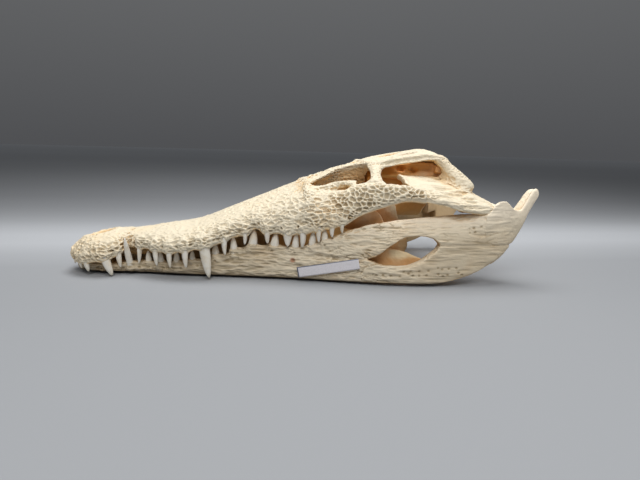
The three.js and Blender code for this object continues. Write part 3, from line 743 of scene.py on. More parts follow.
def bone_finish(name, pale, lit_top, warm, deep):
    """Dry bone: painted highlight high up; painted warm shade in pores, closed-in spots and inward-facing
    skin.
    """
    material, shader, tone = material_tree(name)
    place = tone.node("ShaderNodeTexCoord", output="Object")
    hollow_shade, closed, inner = (
        tone.node("ShaderNodeAttribute", output="Fac", attribute_name=painted)
        for painted in ("hollow_shade", "closed", "inner")
    )
    blotch = tone.noise(place, 38, 5, Roughness=0.6)
    cloud = tone.noise(place, 14, 3, Distortion=0.6)
    pores = tone.noise(place, 900, 3)
    fibres = tone.noise(tone.node("ShaderNodeMapping", {"Vector": place, "Scale": (60, 700, 700)}), 1, 3)
    # Random blotches warm the bone; in pits and on inward-facing skin the warmth is painted bounced light.
    warmth = blotch.between(0.45, 0.75) * 0.25 + cloud.between(0.5, 0.7) * 0.2 + hollow_shade * 0.25 + inner * 0.9
    high = place.along("Z")
    back = place.along("X")
    # Painted highlight: the bone is painted paler high up, where the light falls.
    colour = (high - 0.1 * back).between(0.034, 0.052).mix(pale, lit_top)
    colour = warmth.between(0.0, 1.0).mix(colour, warm)
    # Painted shade: closed-in places are painted darker and warmer, in blotches.
    colour = (closed * (0.25 + 0.6 * blotch)).between(0.12, 0.85).mix(colour, deep)
    # Painted shade: the bone is painted darker in its pits, wrinkle valleys and nerve holes.
    colour = (hollow_shade * hollow_shade * 0.85).mix(colour, (0.35, 0.27, 0.16, 1))
    # Painted contact shadow: the bone's lowest few millimetres, where the jaw lies on the table, are painted
    # dark.
    foot = 1 - high.between(0.0015, 0.0058)  # painted contact shadow where the jaw lies on the table
    tip = 1 - back.between(-0.214, -0.198)  # the snout's tip is handled most
    colour = (tip * 0.35).mix(colour, warm)
    away = tone.node("ShaderNodeVectorMath", {0: place, 1: RUST_SPOT}, output="Value", operation="DISTANCE")
    colour = ((1 - away.between(0.001, 0.0036)) * 0.85).mix(colour, (0.42, 0.13, 0.05, 1))
    # Painted contact shadow: the foot mask darkens the bone nearly to black.
    colour = (foot * 0.9).mix(colour, (0.07, 0.055, 0.04, 1))
    colour = (fibres.between(0.6, 0.75) * 0.25).mix(colour, warm)
    colour.feed(shader, "Base Color")
    (0.5 + 0.16 * blotch).feed(shader, "Roughness")
    relief = pores * 0.5 + fibres
    bump = tone.node("ShaderNodeBump", {"Height": relief, "Strength": 0.4, "Distance": 0.0005})
    bump.feed(shader, "Normal")
    shader.inputs["Specular IOR Level"].default_value = 0.35
    return material


pale_bone = bone_finish(
    "pale_bone", (0.82, 0.725, 0.55, 1), (0.82, 0.725, 0.55, 1), (0.92, 0.69, 0.40, 1), (0.62, 0.36, 0.11, 1)
)


def rugged(points, normal):
    """Worm-shaped wrinkles that run along the snout, with small holes among them."""
    bent = points + 1.9 * np.stack([grain(points, 7, 5), grain(points, 7, 6), grain(points, 7, 7)], -1)
    wrinkle = step_between(0.04, 0.42, walls(bent * (0.45, 1, 1), 3.3, 11))
    fine = step_between(0.05, 0.5, walls(bent * (0.7, 1, 1) + 40, 2.3, 23))
    flank = 0.6 + 0.4 * step_between(0.95, 0.6, np.abs(normal[:, 2]))
    patch = 0.6 + 0.4 * step_between(-0.4, 0.3, grain(points, 20, 31))
    depth = outer_side(points, normal) * flank * patch
    height = -depth * (1.9 * wrinkle + 0.6 * fine) + 0.3 * grain(points, 4, 3)
    return height, depth * (0.66 * wrinkle + 0.28 * fine)


def honeycomb(points, size, salt):
    """1 in the pits of a honeycomb, falling to 0 on its walls."""
    bent = points + 0.9 * np.stack([grain(points, 4, 35), grain(points, 4, 36), grain(points, 4, 37)], -1)
    return step_between(0.07, 0.34, walls(bent * (0.74, 1, 1), size, salt, 0.8))


def sculptured(points, normal):
    """The skin of the outer bones: wrinkles on the snout, deep pits on the cheek and small ones on top."""
    x, z = points[:, 0], points[:, 2]
    outer = outer_side(points, normal)
    edge = step_between(0.5, 6, z - cheek_low_z(x)) * step_between(-1.5, 2.5, cheek_top_z(x) - z)
    cheek = step_between(10, 33, x + 0.5 * (z - 74)) * step_between(124, 100, x) * outer * edge
    top = step_between(0.3, 0.8, normal[:, 2]) * step_between(6, 30, x) * step_between(92, 100, z)
    smooth = step_between(20, 50, x) * (1 - cheek) * (1 - top)
    height, hollow_shade = rugged(points, normal)
    deep, small = honeycomb(points, 4.0, 41), honeycomb(points, 3.2, 61)
    deep = deep * (0.75 + 0.25 * step_between(-0.4, 0.3, grain(points, 8, 43)))
    plain = (1 - cheek) * (1 - top) * (1 - 0.75 * smooth)
    height = height * plain - 2.5 * cheek * deep - 0.85 * top * small + 0.2 * grain(points, 3, 9)
    return height, hollow_shade * plain + 1.15 * cheek * deep + 0.5 * top * small


def dotted(points, row, spread):
    """How deep each point lies in one of the holes, whose places row gives."""
    near = np.full(len(points), 99.0)
    for spot in row:
        near = np.minimum(near, np.linalg.norm((points - spot) * (0.8, 1, 1), axis=1))
    return 1 - step_between(spread * 0.35, spread, near)


def nerve_holes(start, end, gap, edge_z, half_width, salt):
    """Places of a wandering row of nerve holes along the tooth sockets, on both sides."""
    spots = []
    for i, x in enumerate(np.arange(start, end, gap)):
        shift = chance(np.array([[i, salt, 3]]), salt)[0]
        x = x + (shift - 0.5) * gap * 0.8
        z = edge_z(x) + 5.2 + 2.4 * math.sin(i * 1.9) * shift
        spots += [(x, half_width(x) + 0.4, z), (x, -half_width(x) - 0.4, z)]
    return np.array(spots)


upper_holes = nerve_holes(-210, 44, 4.6, tooth_line, upper_half_width, 7)


def snout_sculpture(points, normal):
    height, hollow_shade = sculptured(points, normal)
    hole = dotted(points, upper_holes, 1.55)
    return height - 1.1 * hole, hollow_shade + 0.9 * hole


def premaxilla_region(block):
    return block.x - (NOTCH_X - SEAM / 2) - suture(block.out, block.z)


add_bone(
    "premaxilla", (-224, 0, 4), (-150, 40, 50), vault, premaxilla_region,
    snout_sculpture, pale_bone,
)


# --------------------------------------------------------------------------------------------------
# Maxillae: the long bones of the snout, one a side, with thirteen teeth each. Their flanks are wrinkled
# and a row of nerve holes follows the tooth sockets.

def cheek_suture_z(x):
    """The suture between maxilla and jugal falls 14 mm from the eye socket to the last tooth."""
    return 72 - 14 * (x - FACE_END_X) / 52


MAXILLA_REAR_X = 54


def maxilla_region(block):
    front = NOTCH_X + SEAM / 2 - block.x + suture(block.out, block.z)
    rear = block.x - (FACE_END_X - SEAM / 2) - suture(block.out, block.z)
    under = block.z - cheek_suture_z(block.x) + SEAM / 2 - suture(block.x)
    under_cheek = np.maximum(block.x - MAXILLA_REAR_X, under)
    return np.maximum(front, np.minimum(rear, under_cheek))


add_bone(
    "maxilla", (-168, -1, 16), (62, 74, 98), vault, maxilla_region,
    snout_sculpture, pale_bone,
)


# --------------------------------------------------------------------------------------------------
# Jugals: the cheek bars under the eye sockets, grown to the maxillae in front. Their outer face is a
# honeycomb of deep pits, smooth along the lower edge.

def within(*bounds):
    """Below 0 only where every bound is."""
    return functools.reduce(np.maximum, bounds)


PILLAR_HALF_WIDTH = 22
BROW_HALF_WIDTH = 38
BROW_LOW_Z = 86.8


def frontal_side(block):
    """Below 0 in the frontal, above 0 in the jugal: the frontal is broad in its brow and narrow under it."""
    brow = np.maximum(BROW_LOW_Z - block.z, block.out - BROW_HALF_WIDTH)
    return np.minimum(block.out - PILLAR_HALF_WIDTH, brow)


CHEEK_SUTURE_REAR_X = 60
EYE_BAR_FRONT_X = 57
EYE_BAR_FOOT_Z = 95.2
EYE_BAR_FOOT_REAR_X = 74
JUGAL_REAR_X = 93
JUGAL_INNER_OUT = 58.5
JUGAL_INNER_FRONT_X = 78  # behind here the jugal is only the outer part of the cheek


def jugal_region(block):
    front = FACE_END_X + SEAM / 2 - block.x + suture(block.out, block.z)
    upper = cheek_suture_z(block.x) + SEAM / 2 - block.z + suture(block.x)
    upper = np.where(block.x < CHEEK_SUTURE_REAR_X, upper, -BAND)
    under_bar = (block.x > EYE_BAR_FRONT_X) & (block.x < EYE_BAR_FOOT_REAR_X)
    bar = np.where(under_bar, block.z - EYE_BAR_FOOT_Z, -BAND)
    rear = block.x - JUGAL_REAR_X - suture(block.z)
    inner = np.where(block.x > JUGAL_INNER_FRONT_X, JUGAL_INNER_OUT - block.out, -BAND)
    return within(SEAM / 2 - frontal_side(block), front, upper, bar, rear, inner)


add_bone("jugal", (-2, 18, 48), (98, 84, 104), vault, jugal_region, sculptured, pale_bone)


# --------------------------------------------------------------------------------------------------
# Frontal: the bridge between the eye sockets, with a raised rim over each, and in front of it the pillars
# that carry the sockets' front ends. Its upper side is pitted.

def frontal_region(block):
    front = FACE_END_X + SEAM / 2 - block.x + suture(block.out, block.z)
    rear = block.x - (TABLE_FRONT_X - SEAM / 2) - suture(block.out)
    return within(front, rear, frontal_side(block) + SEAM / 2)


add_bone("frontal", (-2, 0, 66), (68, 40, 116), vault, frontal_region, sculptured, pale_bone)


# --------------------------------------------------------------------------------------------------
# Postorbital bars: the slender pillars of bone behind the eye sockets. They have grown to the table's
# corners above and to the jugals below.

EYE_BAR_INNER_OUT = 36
EYE_BAR_REAR_X = 73
EYE_BAR_FOOT_OUT = 48  # further out than this it stands on the jugal


def eye_bar_region(block):
    inner = EYE_BAR_INNER_OUT + SEAM / 2 - block.out
    foot = np.where(block.out > EYE_BAR_FOOT_OUT, EYE_BAR_FOOT_Z + SEAM - block.z, -BAND)
    return within(inner, foot, block.x - EYE_BAR_REAR_X, EYE_BAR_FRONT_X - block.x)


add_bone(
    "postorbital", (54, 33, 90), (78, 66, 112), vault, eye_bar_region,
    sculptured, pale_bone,
)


# --------------------------------------------------------------------------------------------------
# Skull table: the flat roof of parietal and squamosals with its two round holes. Its side has a groove
# over a lip, and its rear corners run down as horns to the quadrates.

PLATE_THICKNESS = 9.5
LIP_OUT = 30
LIP_DEPTH = 4.5
REAR_PLATE_X = 124
HORN_FRONT_X = 120
HORN_INNER_OUT = 43
HORN_LIFT = 1.0  # from the quadrate's upper side to the lower end of the horn


def in_horn(x, out):
    return (out > HORN_INNER_OUT) & (x > HORN_FRONT_X)


def table_floor_z(x, out):
    """The lower bound of the skull table: under its plate, its side lip and its rear horns."""
    lip = LIP_DEPTH * np.clip((out - LIP_OUT) / 3, 0, 1) * (x < REAR_PLATE_X)
    plate = table_top_z(x) - PLATE_THICKNESS - lip
    return np.where(in_horn(x, out), quadrate_top(x, out) + HORN_LIFT, plate)


def table_region(block):
    bar = np.minimum(block.out - (EYE_BAR_INNER_OUT - SEAM / 2), EYE_BAR_REAR_X + SEAM - block.x)
    floor = table_floor_z(block.x, block.out) + SEAM / 2 - block.z
    front = TABLE_FRONT_X + SEAM / 2 - block.x + suture(block.out)
    return within(front, bar, floor)


add_bone("skull_table", (58, 0, 84), (160, 66, 125), vault, table_region, sculptured, pale_bone)


# --------------------------------------------------------------------------------------------------
# Quadrates and quadratojugals: the sloping plates from under the table out and back to the jaw joint,
# with long shallow grooves along them.

def long_grooves(points, normal):
    valley = step_between(0.05, 0.5, walls(points * (0.13, 1, 1), 4.2, 71)) * outer_side(points, normal)
    height, hollow_shade = sculptured(points, normal)
    rear = step_between(98, 122, points[:, 0])
    return height - 1.3 * rear * valley, hollow_shade + 0.5 * rear * valley


QUADRATE_FRONT_X = 80
QUADRATE_HIGH_Z = 106
QUADRATE_INNER_OUT = 38
BESIDE_CHEEK_OUT = 58.2


def quadrate_region(block):
    beside_cheek = np.maximum(block.out - BESIDE_CHEEK_OUT, QUADRATE_FRONT_X - block.x)
    cheek = np.minimum(JUGAL_REAR_X + SEAM - block.x + suture(block.z), beside_cheek)
    under_horn = block.z - quadrate_top(block.x, block.out) - HORN_LIFT + SEAM / 2
    roof = np.where(in_horn(block.x, block.out), under_horn, block.z - QUADRATE_HIGH_Z)
    inner = np.where(block.x > REAR_PLATE_X, HORN_INNER_OUT, QUADRATE_INNER_OUT) + SEAM / 2 - block.out
    return within(cheek, roof, inner)


add_bone(
    "quadrate", (80, 36, 66), (178, 88, 110), vault, quadrate_region,
    long_grooves, pale_bone,
)


# --------------------------------------------------------------------------------------------------
# Braincase: the walls round the brain under the table, the rear plate with its hole for the spinal cord
# and the ball of the neck joint.

# The inner bones lie in shade: their finish is a warmer copy of the bone's, painted shade and bounced light.
inner_bone = bone_finish(
    "inner_bone", (0.84, 0.68, 0.43, 1), (0.84, 0.715, 0.51, 1), (0.88, 0.54, 0.20, 1), (0.72, 0.30, 0.05, 1)
)
BRAIN_ENDS = (68, 128)
REAR_PLATE_ENDS = (126, 137)
EAR_WALL_ENDS = (69, 128)
brain_half = curve_through((66, 9), (80, 12), (100, 16), (118, 21), (136, 27))


def brain_slice(x):
    wide, top = brain_half(x), table_top_z(x) - 10
    return [
        (INSIDE, top), (wide, top), (wide * 1.15, top - 14), (wide * 0.7, 70), (wide * 0.35, 58),
        (INSIDE, 58),
    ]


def rear_plate_slice(x):
    inset = 0.25 * abs(x - 131.5)
    low = 58.5 + 2.2 * (x - 126)
    outline = ((40, 108), (43, 104), (42.5, 101), (36.5, 99), (35, 90), (24, 78), (16, 66), (9, 60))
    return [(INSIDE, 108 - inset), *((out - inset, max(z, low)) for out, z in outline), (INSIDE, low - 0.5)]


ear_wall_out = curve_through((68, 12), (76, 19), (90, 26), (110, 30), (128, 32))


def ear_wall_slice(x):
    outer = ear_wall_out(x)
    return [
        (outer - 5, 113), (outer, 113), (outer + 1, 105), (outer + 4, 97), (outer - 2, 94),
        (outer - 7, 100),
    ]


neck_ball = Ball((139, 0, 79), (8, 8, 7), 3)
side_strut = rod([(112, 12, 84, 12, 5), (120, 36, 90, 12, 4)], (1, 0, 0.3), 4)
brain_lumps = [
    along_x(*BRAIN_ENDS, brain_slice, 3), along_x(*REAR_PLATE_ENDS, rear_plate_slice, 3, step=1.5),
    along_x(*EAR_WALL_ENDS, ear_wall_slice, 4), neck_ball, side_strut,
]
spinal_hole = Ball((138, 0, 93), (14, 7, 6), 2)
ear_pits = [Ball((96, 30, 104), (5, 7, 3.4), 2), Ball((108, 33, 103), (4, 6, 3), 2)]
brain_cuts = [spinal_hole, *ear_pits]


def braincase(block):
    return joined(block, brain_lumps, brain_cuts)


def faint(points, normal):
    height = 0.25 * grain(points, 4, 9) + 0.12 * grain(points, 1.8, 10)
    return height, 0.15 * step_between(0, 0.8, grain(points, 5, 12))


BRAINCASE_HALF_WIDTH = 37.6


def brain_region(block):
    roof = block.z - (table_floor_z(block.x, np.minimum(block.out, LIP_OUT - 1)) - SEAM / 2)
    side = block.out - np.where(block.x > REAR_PLATE_X, HORN_INNER_OUT, BRAINCASE_HALF_WIDTH)
    return np.maximum(roof, side)


add_bone(
    "braincase", (62, 0, 52), (150, 46, 114), braincase, brain_region,
    faint, inner_bone,
)


# --------------------------------------------------------------------------------------------------
# Palate: the palatine's double bridge between the openings under the eyes, the pterygoid wings behind it
# and the ectopterygoid struts from the wings to the cheeks. Thin smooth bone, painted warm as bone in shade.

palatine_half = curve_through((FACE_END_X, 13), (20, 11), (40, 10), (60, 13), (66.5, 14))


def palatine_slice(x):
    wide, middle = palatine_half(x), 60 - 0.02 * x
    return [
        (INSIDE, middle - 6), (wide * 0.6, middle - 6), (wide, middle - 3), (wide * 0.9, middle + 4),
        (wide * 0.4, middle + 8), (INSIDE, middle + 8),
    ]


palatine_lump = along_x(FACE_END_X + SEAM, 66.5, palatine_slice, 3)
wing_lump = rod(
    [
        (84, -4, 54, 15, 2.6), (84, 10, 53, 15, 2.4), (84, 22, 50, 16, 2.4), (86, 38, 42, 17, 2.4),
        (87, 50, 33, 14, 3.2), (87, 54.5, 26.5, 9, 2.8),
    ],
    (1, 0, -0.1), 3,
)
rear_wall_lumps = [
    rod(
        [(74, 51, 78, 10.5, 1.6), (77, 50.5, 64, 11, 1.6), (80, 49, 52, 12, 1.8), (83, 44, 42, 12, 2.2)],
        (1, 0, 0), 2,
    ),
    rod([(97.5, 45, 76, 1.7, 1.7), (98, 45, 62, 1.4, 1.4), (98, 40, 46, 2, 2)], (1, 0, 0), 2),
    rod([(103, 45, 76, 2.2, 1.7), (103.5, 45, 62, 1.5, 1.4), (100, 38, 46, 2, 2)], (1, 0, 0), 2),
    Ball((102.6, 45.5, 72.8), (2.8, 2.6, 2.6), 2),
]
strut_lump = rod(
    [
        (36, 48.5, 61, 13, 3), (46, 50, 60, 14, 3), (56, 51.5, 58, 14, 2.8), (64, 52.5, 54, 12, 2.4),
        (68, 53, 48, 9, 2.2),
    ],
    (0, 0.3, 1), 3,
)


def lump_form(*lumps):
    return lambda block: joined(block, lumps)


def everywhere(block):
    return np.full(block.shape, -BAND, np.float32)


add_bone(
    "palatine", (0, 0, 48), (72, 20, 74), lump_form(palatine_lump), everywhere,
    faint, inner_bone,
)
add_bone(
    "pterygoid", (58, -1, 14), (112, 66, 82), lump_form(wing_lump, *rear_wall_lumps), everywhere,
    faint, inner_bone,
)
add_bone(
    "ectopterygoid", (24, 38, 30), (76, 62, 84), lump_form(strut_lump), everywhere,
    faint, inner_bone,
)


# --------------------------------------------------------------------------------------------------
# The lower jaw's form: two long plates that meet in the chin, with an opening in each side's rear half
# and a lever behind the joint. As the upper skull, it is one form that its bones are parted from.

# The jaw's second colour is far paler than its first: a painted highlight on the jaw's upper parts.
jaw_bone = bone_finish(
    "jaw_bone", (0.77, 0.665, 0.495, 1), (0.96, 0.84, 0.655, 1), (0.70, 0.50, 0.28, 1), (0.52, 0.34, 0.15, 1)
)
lower_half_width = curve_through(
    (-210, 4), (-204, 12), (-195, 17), (-184, 20.5), (-170, 22), (-157, 22), (-140, 26), (-120, 31.5),
    (-100, 35.5), (-80, 38.5), (-55, 43), (-30, 48), (0, 55), (40, 66), (80, 76), (120, 80.5),
    (160, 81.5), (180, 80), (200, 74), (218, 70),
)
lower_rim = curve_through(
    (-210, 9), (-195, 10), (-170, 11), (-140, 12), (-115, 13.5), (-92, 18), (-72, 24), (-55, 29),
    (-40, 32), (-5, 32), (16, 39), (36, 48), (62, 56), (96, 61), (141, 66), (166, 68),
)
jaw_underside = curve_through(
    (-210, 4.5), (-203, 2), (-190, 0.6), (-150, 0), (40, 0), (109, 0), (126, 1.5), (141, 5), (154, 10),
    (168, 18), (181, 27), (190, 35.5), (197, 44), (203, 53), (208, 64), (214, 75), (218, 82),
)
jaw_thickness = curve_through((-150, 19), (-120, 15), (-60, 13), (0, 12), (30, 10), (63, 8.6), (174, 8.6))
SPLIT_REAR_X = 119
CHIN_ENDS = (-210, -148)
PLATE_ENDS = (-152, 198)
LEVER_ENDS = (161.5, 217)
split_top = curve_through(
    (56, 24), (63, 26.5), (78, 38), (92, 45), (104, 46), (113, 44.5), (118, 41.5), (120, 38.5),
)
split_low = curve_through(
    (56, 24), (63, 21.5), (74, 18.5), (90, 19), (102, 23), (112, 30), (118, 35), (120, 38.5),
)
rear_seam_z = curve_through((SPLIT_REAR_X, 38.5), (160, 47), (188, 58))


def chin_slice(x):
    outer, low, high = lower_half_width(x), jaw_underside(x), lower_rim(x)
    return [
        (INSIDE, low + 0.6), (outer * 0.35, low), (outer * 0.6, low + 1), (outer * 0.92, low + 2.8),
        (outer, low + 0.5 * (high - low)),
        (outer - 1, high - 1), (outer - 4, high), (outer * 0.5, high - 2), (INSIDE, high - 2.5),
    ]


def jaw_slice(x):
    tuck = 2 * step_between(172, 196, x)
    outer, thick = lower_half_width(x) - tuck, jaw_thickness(x)
    low, high = jaw_underside(x) + tuck, lower_rim(x)
    third = (high - low) / 3
    lean = step_between(30, 90, x) * step_between(166, 135, x)
    foot = 2.5 * lean
    return [
        (outer - 0.64 * thick - foot, low), (outer - 0.48 * thick - foot, low + 1.3),
        (outer - 0.14 * thick - 0.6 * foot, low + 2.6), (outer - 0.3, low + 5.5),
        (outer, low + third * 1.6), (outer - 0.6 - 1.2 * lean, high - third * 0.85),
        (outer - 0.15 * thick - 6 * lean, high - third * 0.28), (outer - 0.5 * thick - 8.5 * lean, high),
        (outer - 0.95 * thick - 7 * lean, high - third * 0.4), (outer - thick - 3 * lean, high - third),
        (outer - thick, low + third), (outer - 0.75 * thick, low),
    ]


lever_top = curve_through(
    (162, 67.6), (164.5, 69.8), (168.5, 75.2), (173.5, 78.2), (179, 78.6), (183, 76.4), (188, 72.3),
    (192, 70.4), (198, 70), (203, 76.5), (208, 85), (212, 89.6), (215, 90), (218, 87),
)
lever_inner = curve_through((158, 54), (172, 54), (186, 56), (198, 58), (218, 60))


def lever_slice(x):
    outer, deep, high = lower_half_width(x) - 0.5, lever_inner(x), lever_top(x)
    low = max(jaw_underside(x), rear_seam_z(x) if x < 172 else 0)
    dish = 0.8 + (2 + 3 * step_between(184, 196, x)) * step_between(217, 206, x)
    drop = 3.5 * step_between(198, 186, x)
    return [
        (outer - 3, low), (outer, low + 0.3 * (high - low)), (outer, high - 3), (outer - 2, high),
        ((outer + deep) / 2, high - dish - 0.8 * drop), (deep + 2, high - 1 - drop), (deep, high - 4 - drop),
        (deep + 1, low + 3), (deep + 5, low),
    ]


def lower_tooth_out(x, radius, push):
    return lower_half_width(x) - 1.5 - radius + 0.7 * push


lower_sockets = [
    Ball((x, lower_tooth_out(x, r, sum(push)), lower_rim(x) - 2.5), (r + 2, r + 1.4, 4 + 0.5 * r), 3)
    for x, _, r, _, *push in DENTARY_TEETH
]
jaw_lumps = [
    along_x(*CHIN_ENDS, chin_slice, 3), along_x(*PLATE_ENDS, jaw_slice, 3), *lower_sockets,
    along_x(*LEVER_ENDS, lever_slice, 3, step=2),
]


def jaw(block):
    return joined(block, jaw_lumps)


def split_field(block):
    """Below 0 in the opening of the jaw's side."""
    top, low = split_top(block.x), split_low(block.x)
    inside = np.maximum(block.z - top, low - block.z)
    return np.where(block.out > lower_half_width(block.x) - 13, inside, BAND).astype(np.float32)


def jaw_with_split(block):
    return blended(jaw(block), -split_field(block), 3, -1)


# --------------------------------------------------------------------------------------------------
# Dentaries: the front two thirds of the jaw, with fifteen teeth each. Fine fibres run along them, with a
# row of nerve holes under the sockets.

lower_holes = nerve_holes(-196, 24, 6.5, lambda x: lower_rim(x) - 10.5, lower_half_width, 17)
PORE_ROWS = (  # start and end, gap, height, rise along X, distance inwards
    (124, 166, 4, 53, 0.05, 2.2), (118, 160, 6, 47, 0.12, 1.2), (66, 150, 6.5, 9.5, 0.03, 1),
    (90, 140, 7, 14, 0.08, 1),
)
jaw_pores = np.concatenate([
    nerve_holes(
        start, end, gap, lambda x: low + rise * (x - start) - 5.2, lambda x: lower_half_width(x) - inset, 29
    )
    for start, end, gap, low, rise, inset in PORE_ROWS
])


PORES_FROM_X = 70  # the dentary ends before here and has no such pores


def fibrous(points, normal):
    """Long ridges, as the fibres of the jaw's bone lie, with short cracks between them."""
    bent = points + (0, 0, 1) * (1.2 * grain(points * (0.3, 1, 1), 12, 83))[:, None]
    furrow = step_between(0.03, 0.5, walls(bent * (0.1, 1, 1), 2.6, 81))
    coarse = step_between(0.05, 0.6, walls(bent * (0.12, 1, 1), 6.5, 85))
    crack = 1 - step_between(0.0, 0.1, walls(bent * (0.2, 1, 1) + 30, 4.0, 87))
    x, z = points[:, 0], points[:, 2]
    side = outer_side(points, normal) * step_between(204, 176, x) * (0.5 + 0.5 * step_between(150, 70, x))
    # Painted shade: the jaw's lower rear and its front under the snout are painted darker.
    painted_jaw_shade = np.maximum(step_between(50, 135, x) * step_between(52, 30, z), 1.1 * step_between(10, -50, x))
    crack *= step_between(0.1, 0.5, grain(points, 14, 88)) * side
    height = side * (-0.9 * furrow - 1.0 * coarse) - 0.7 * crack + 0.15 * grain(points, 2.5, 9)
    if x.max() > PORES_FROM_X:
        pore = dotted(points, jaw_pores, 1.5)
        height, crack = height - 0.9 * pore, crack + pore
    # Painted shade: a patch on the jaw's rear, before the joint, is painted darker.
    rear_spot_shade = step_between(34, 8, np.hypot(x - 148, 2 * (z - 45)))
    return height, side * (0.35 * furrow + 0.3 * coarse) + 0.8 * crack + 0.45 * painted_jaw_shade + 0.35 * rear_spot_shade


LARGE_HOLES = [(-9.6, side * 52.4, 19.6) for side in (-1, 1)]


def dentary_sculpture(points, normal):
    height, hollow_shade = fibrous(points, normal)
    hole = np.maximum(dotted(points, lower_holes, 1.6), dotted(points, LARGE_HOLES, 2))
    return height - 1.2 * hole, hollow_shade + 0.95 * hole


DENTARY_REAR_X = 66
TONGUE_END_X = 64  # the dentary's rear end narrows to a tongue between the two plates behind it
TONGUE_END_Z = 25


def dentary_low(x):
    return jaw_underside(x) + 20 * np.clip((x + 6) / 70, 0, 2)


def dentary_high(x):
    return lower_rim(x) + (TONGUE_END_Z - lower_rim(x)) * np.clip((x - 20) / (TONGUE_END_X - 20), 0, 1)


def dentary_region(block):
    narrowing = np.maximum(dentary_low(block.x) - block.z, block.z - dentary_high(block.x))
    return np.maximum(np.where(block.x > -10, narrowing, -BAND), block.x - DENTARY_REAR_X)


add_bone(
    "dentary", (-216, -1, -3), (70, 78, 54), jaw_with_split, dentary_region,
    dentary_sculpture, jaw_bone,
)


# --------------------------------------------------------------------------------------------------
# Surangulars and angulars: the upper and lower plates of bone in the jaw's rear half, above and below the
# opening. A long seam parts them behind it, and in front the dentary's tongue lies between them.

def plate_seam_z(x):
    """The line between the upper and the lower plate, through the middle of the opening."""
    return np.where(x < SPLIT_REAR_X, 0.5 * (split_top(x) + split_low(x)), rear_seam_z(x))


SURANGULAR_ENDS = (26, 161.7)
ANGULAR_ENDS = (0, 174.8)
PLATE_WAVE = 0.3  # their sutures wave less than those of the skull


def surangular_region(block):
    low = np.where(block.x < TONGUE_END_X, dentary_high(block.x), plate_seam_z(block.x)) + SEAM
    front, rear = SURANGULAR_ENDS
    return within(low - block.z - suture(block.x) * PLATE_WAVE, front - block.x, block.x - rear)


def angular_region(block):
    high = np.where(block.x < TONGUE_END_X, dentary_low(block.x) - SEAM, plate_seam_z(block.x))
    front, rear = ANGULAR_ENDS
    return within(block.z - high - suture(block.x) * PLATE_WAVE, front - block.x, block.x - rear)


add_bone(
    "surangular", (22, 40, 20), (166, 88, 74), jaw_with_split, surangular_region,
    fibrous, jaw_bone,
)
add_bone(
    "angular", (-6, 40, -3), (180, 88, 60), jaw_with_split, angular_region,
    fibrous, jaw_bone,
)


# --------------------------------------------------------------------------------------------------
# Articulars: the blocks of bone that carry the jaw joint, grown to both plates in front of them. They end
# in the upturned levers for the muscle that opens the jaw.

ARTICULAR_FRONT_X = 160.7
ARTICULAR_LOW_FRONT_X = 173.0  # under the seam the angular reaches further back


def articular_region(block):
    upper, lower = ARTICULAR_FRONT_X - block.x, ARTICULAR_LOW_FRONT_X - block.x
    return np.where(block.z > rear_seam_z(block.x) + SEAM, upper, lower).astype(np.float32)


add_bone(
    "articular", (156, 46, 14), (222, 88, 98), jaw_with_split, articular_region,
    fibrous, jaw_bone,
)


# --------------------------------------------------------------------------------------------------
# Splenials: thin smooth plates of bone on the jaw's inner side, which close it off there. Each lies
# against the dentary and the angular of its side.

splenial_top = curve_through((-30, 24), (10, 30), (60, 33), (84, 31), (110, 22), (124, 12))


def splenial_slice(x):
    outer, low, high = lower_half_width(x) - 13.4, jaw_underside(x) + 1.5, splenial_top(x)
    return [(outer, low), (outer, high - 1), (outer - 1.5, high), (outer - 4, high - 2), (outer - 4, low)]


splenial_lump = along_x(-30, 124, splenial_slice, 3)
add_bone(
    "splenial", (-36, 26, -3), (130, 72, 40), lump_form(splenial_lump), everywhere,
    faint, inner_bone,
)


# --------------------------------------------------------------------------------------------------
# Teeth: pointed cones of enamel, a little curved, each in a socket of its own. One tree sets them all,
# from the place of each neck, its radius and its tip.

TOOTH_ROOT = 4  # how deep a tooth stands in its socket
TOOTH_SIDES = 18
TOOTH_BEND = 0.35
TOOTH_FLATNESS = 0.85

tooth_material, tooth_shader, tone = material_tree("enamel")
place = tone.node("ShaderNodeTexCoord", output="Object")
cloud = tone.noise(place, 160, 3)
cloud.between(0.35, 0.75).mix((0.88, 0.835, 0.74, 1), (0.78, 0.69, 0.54, 1)).feed(tooth_shader, "Base Color")
(0.28 + 0.15 * cloud).feed(tooth_shader, "Roughness")


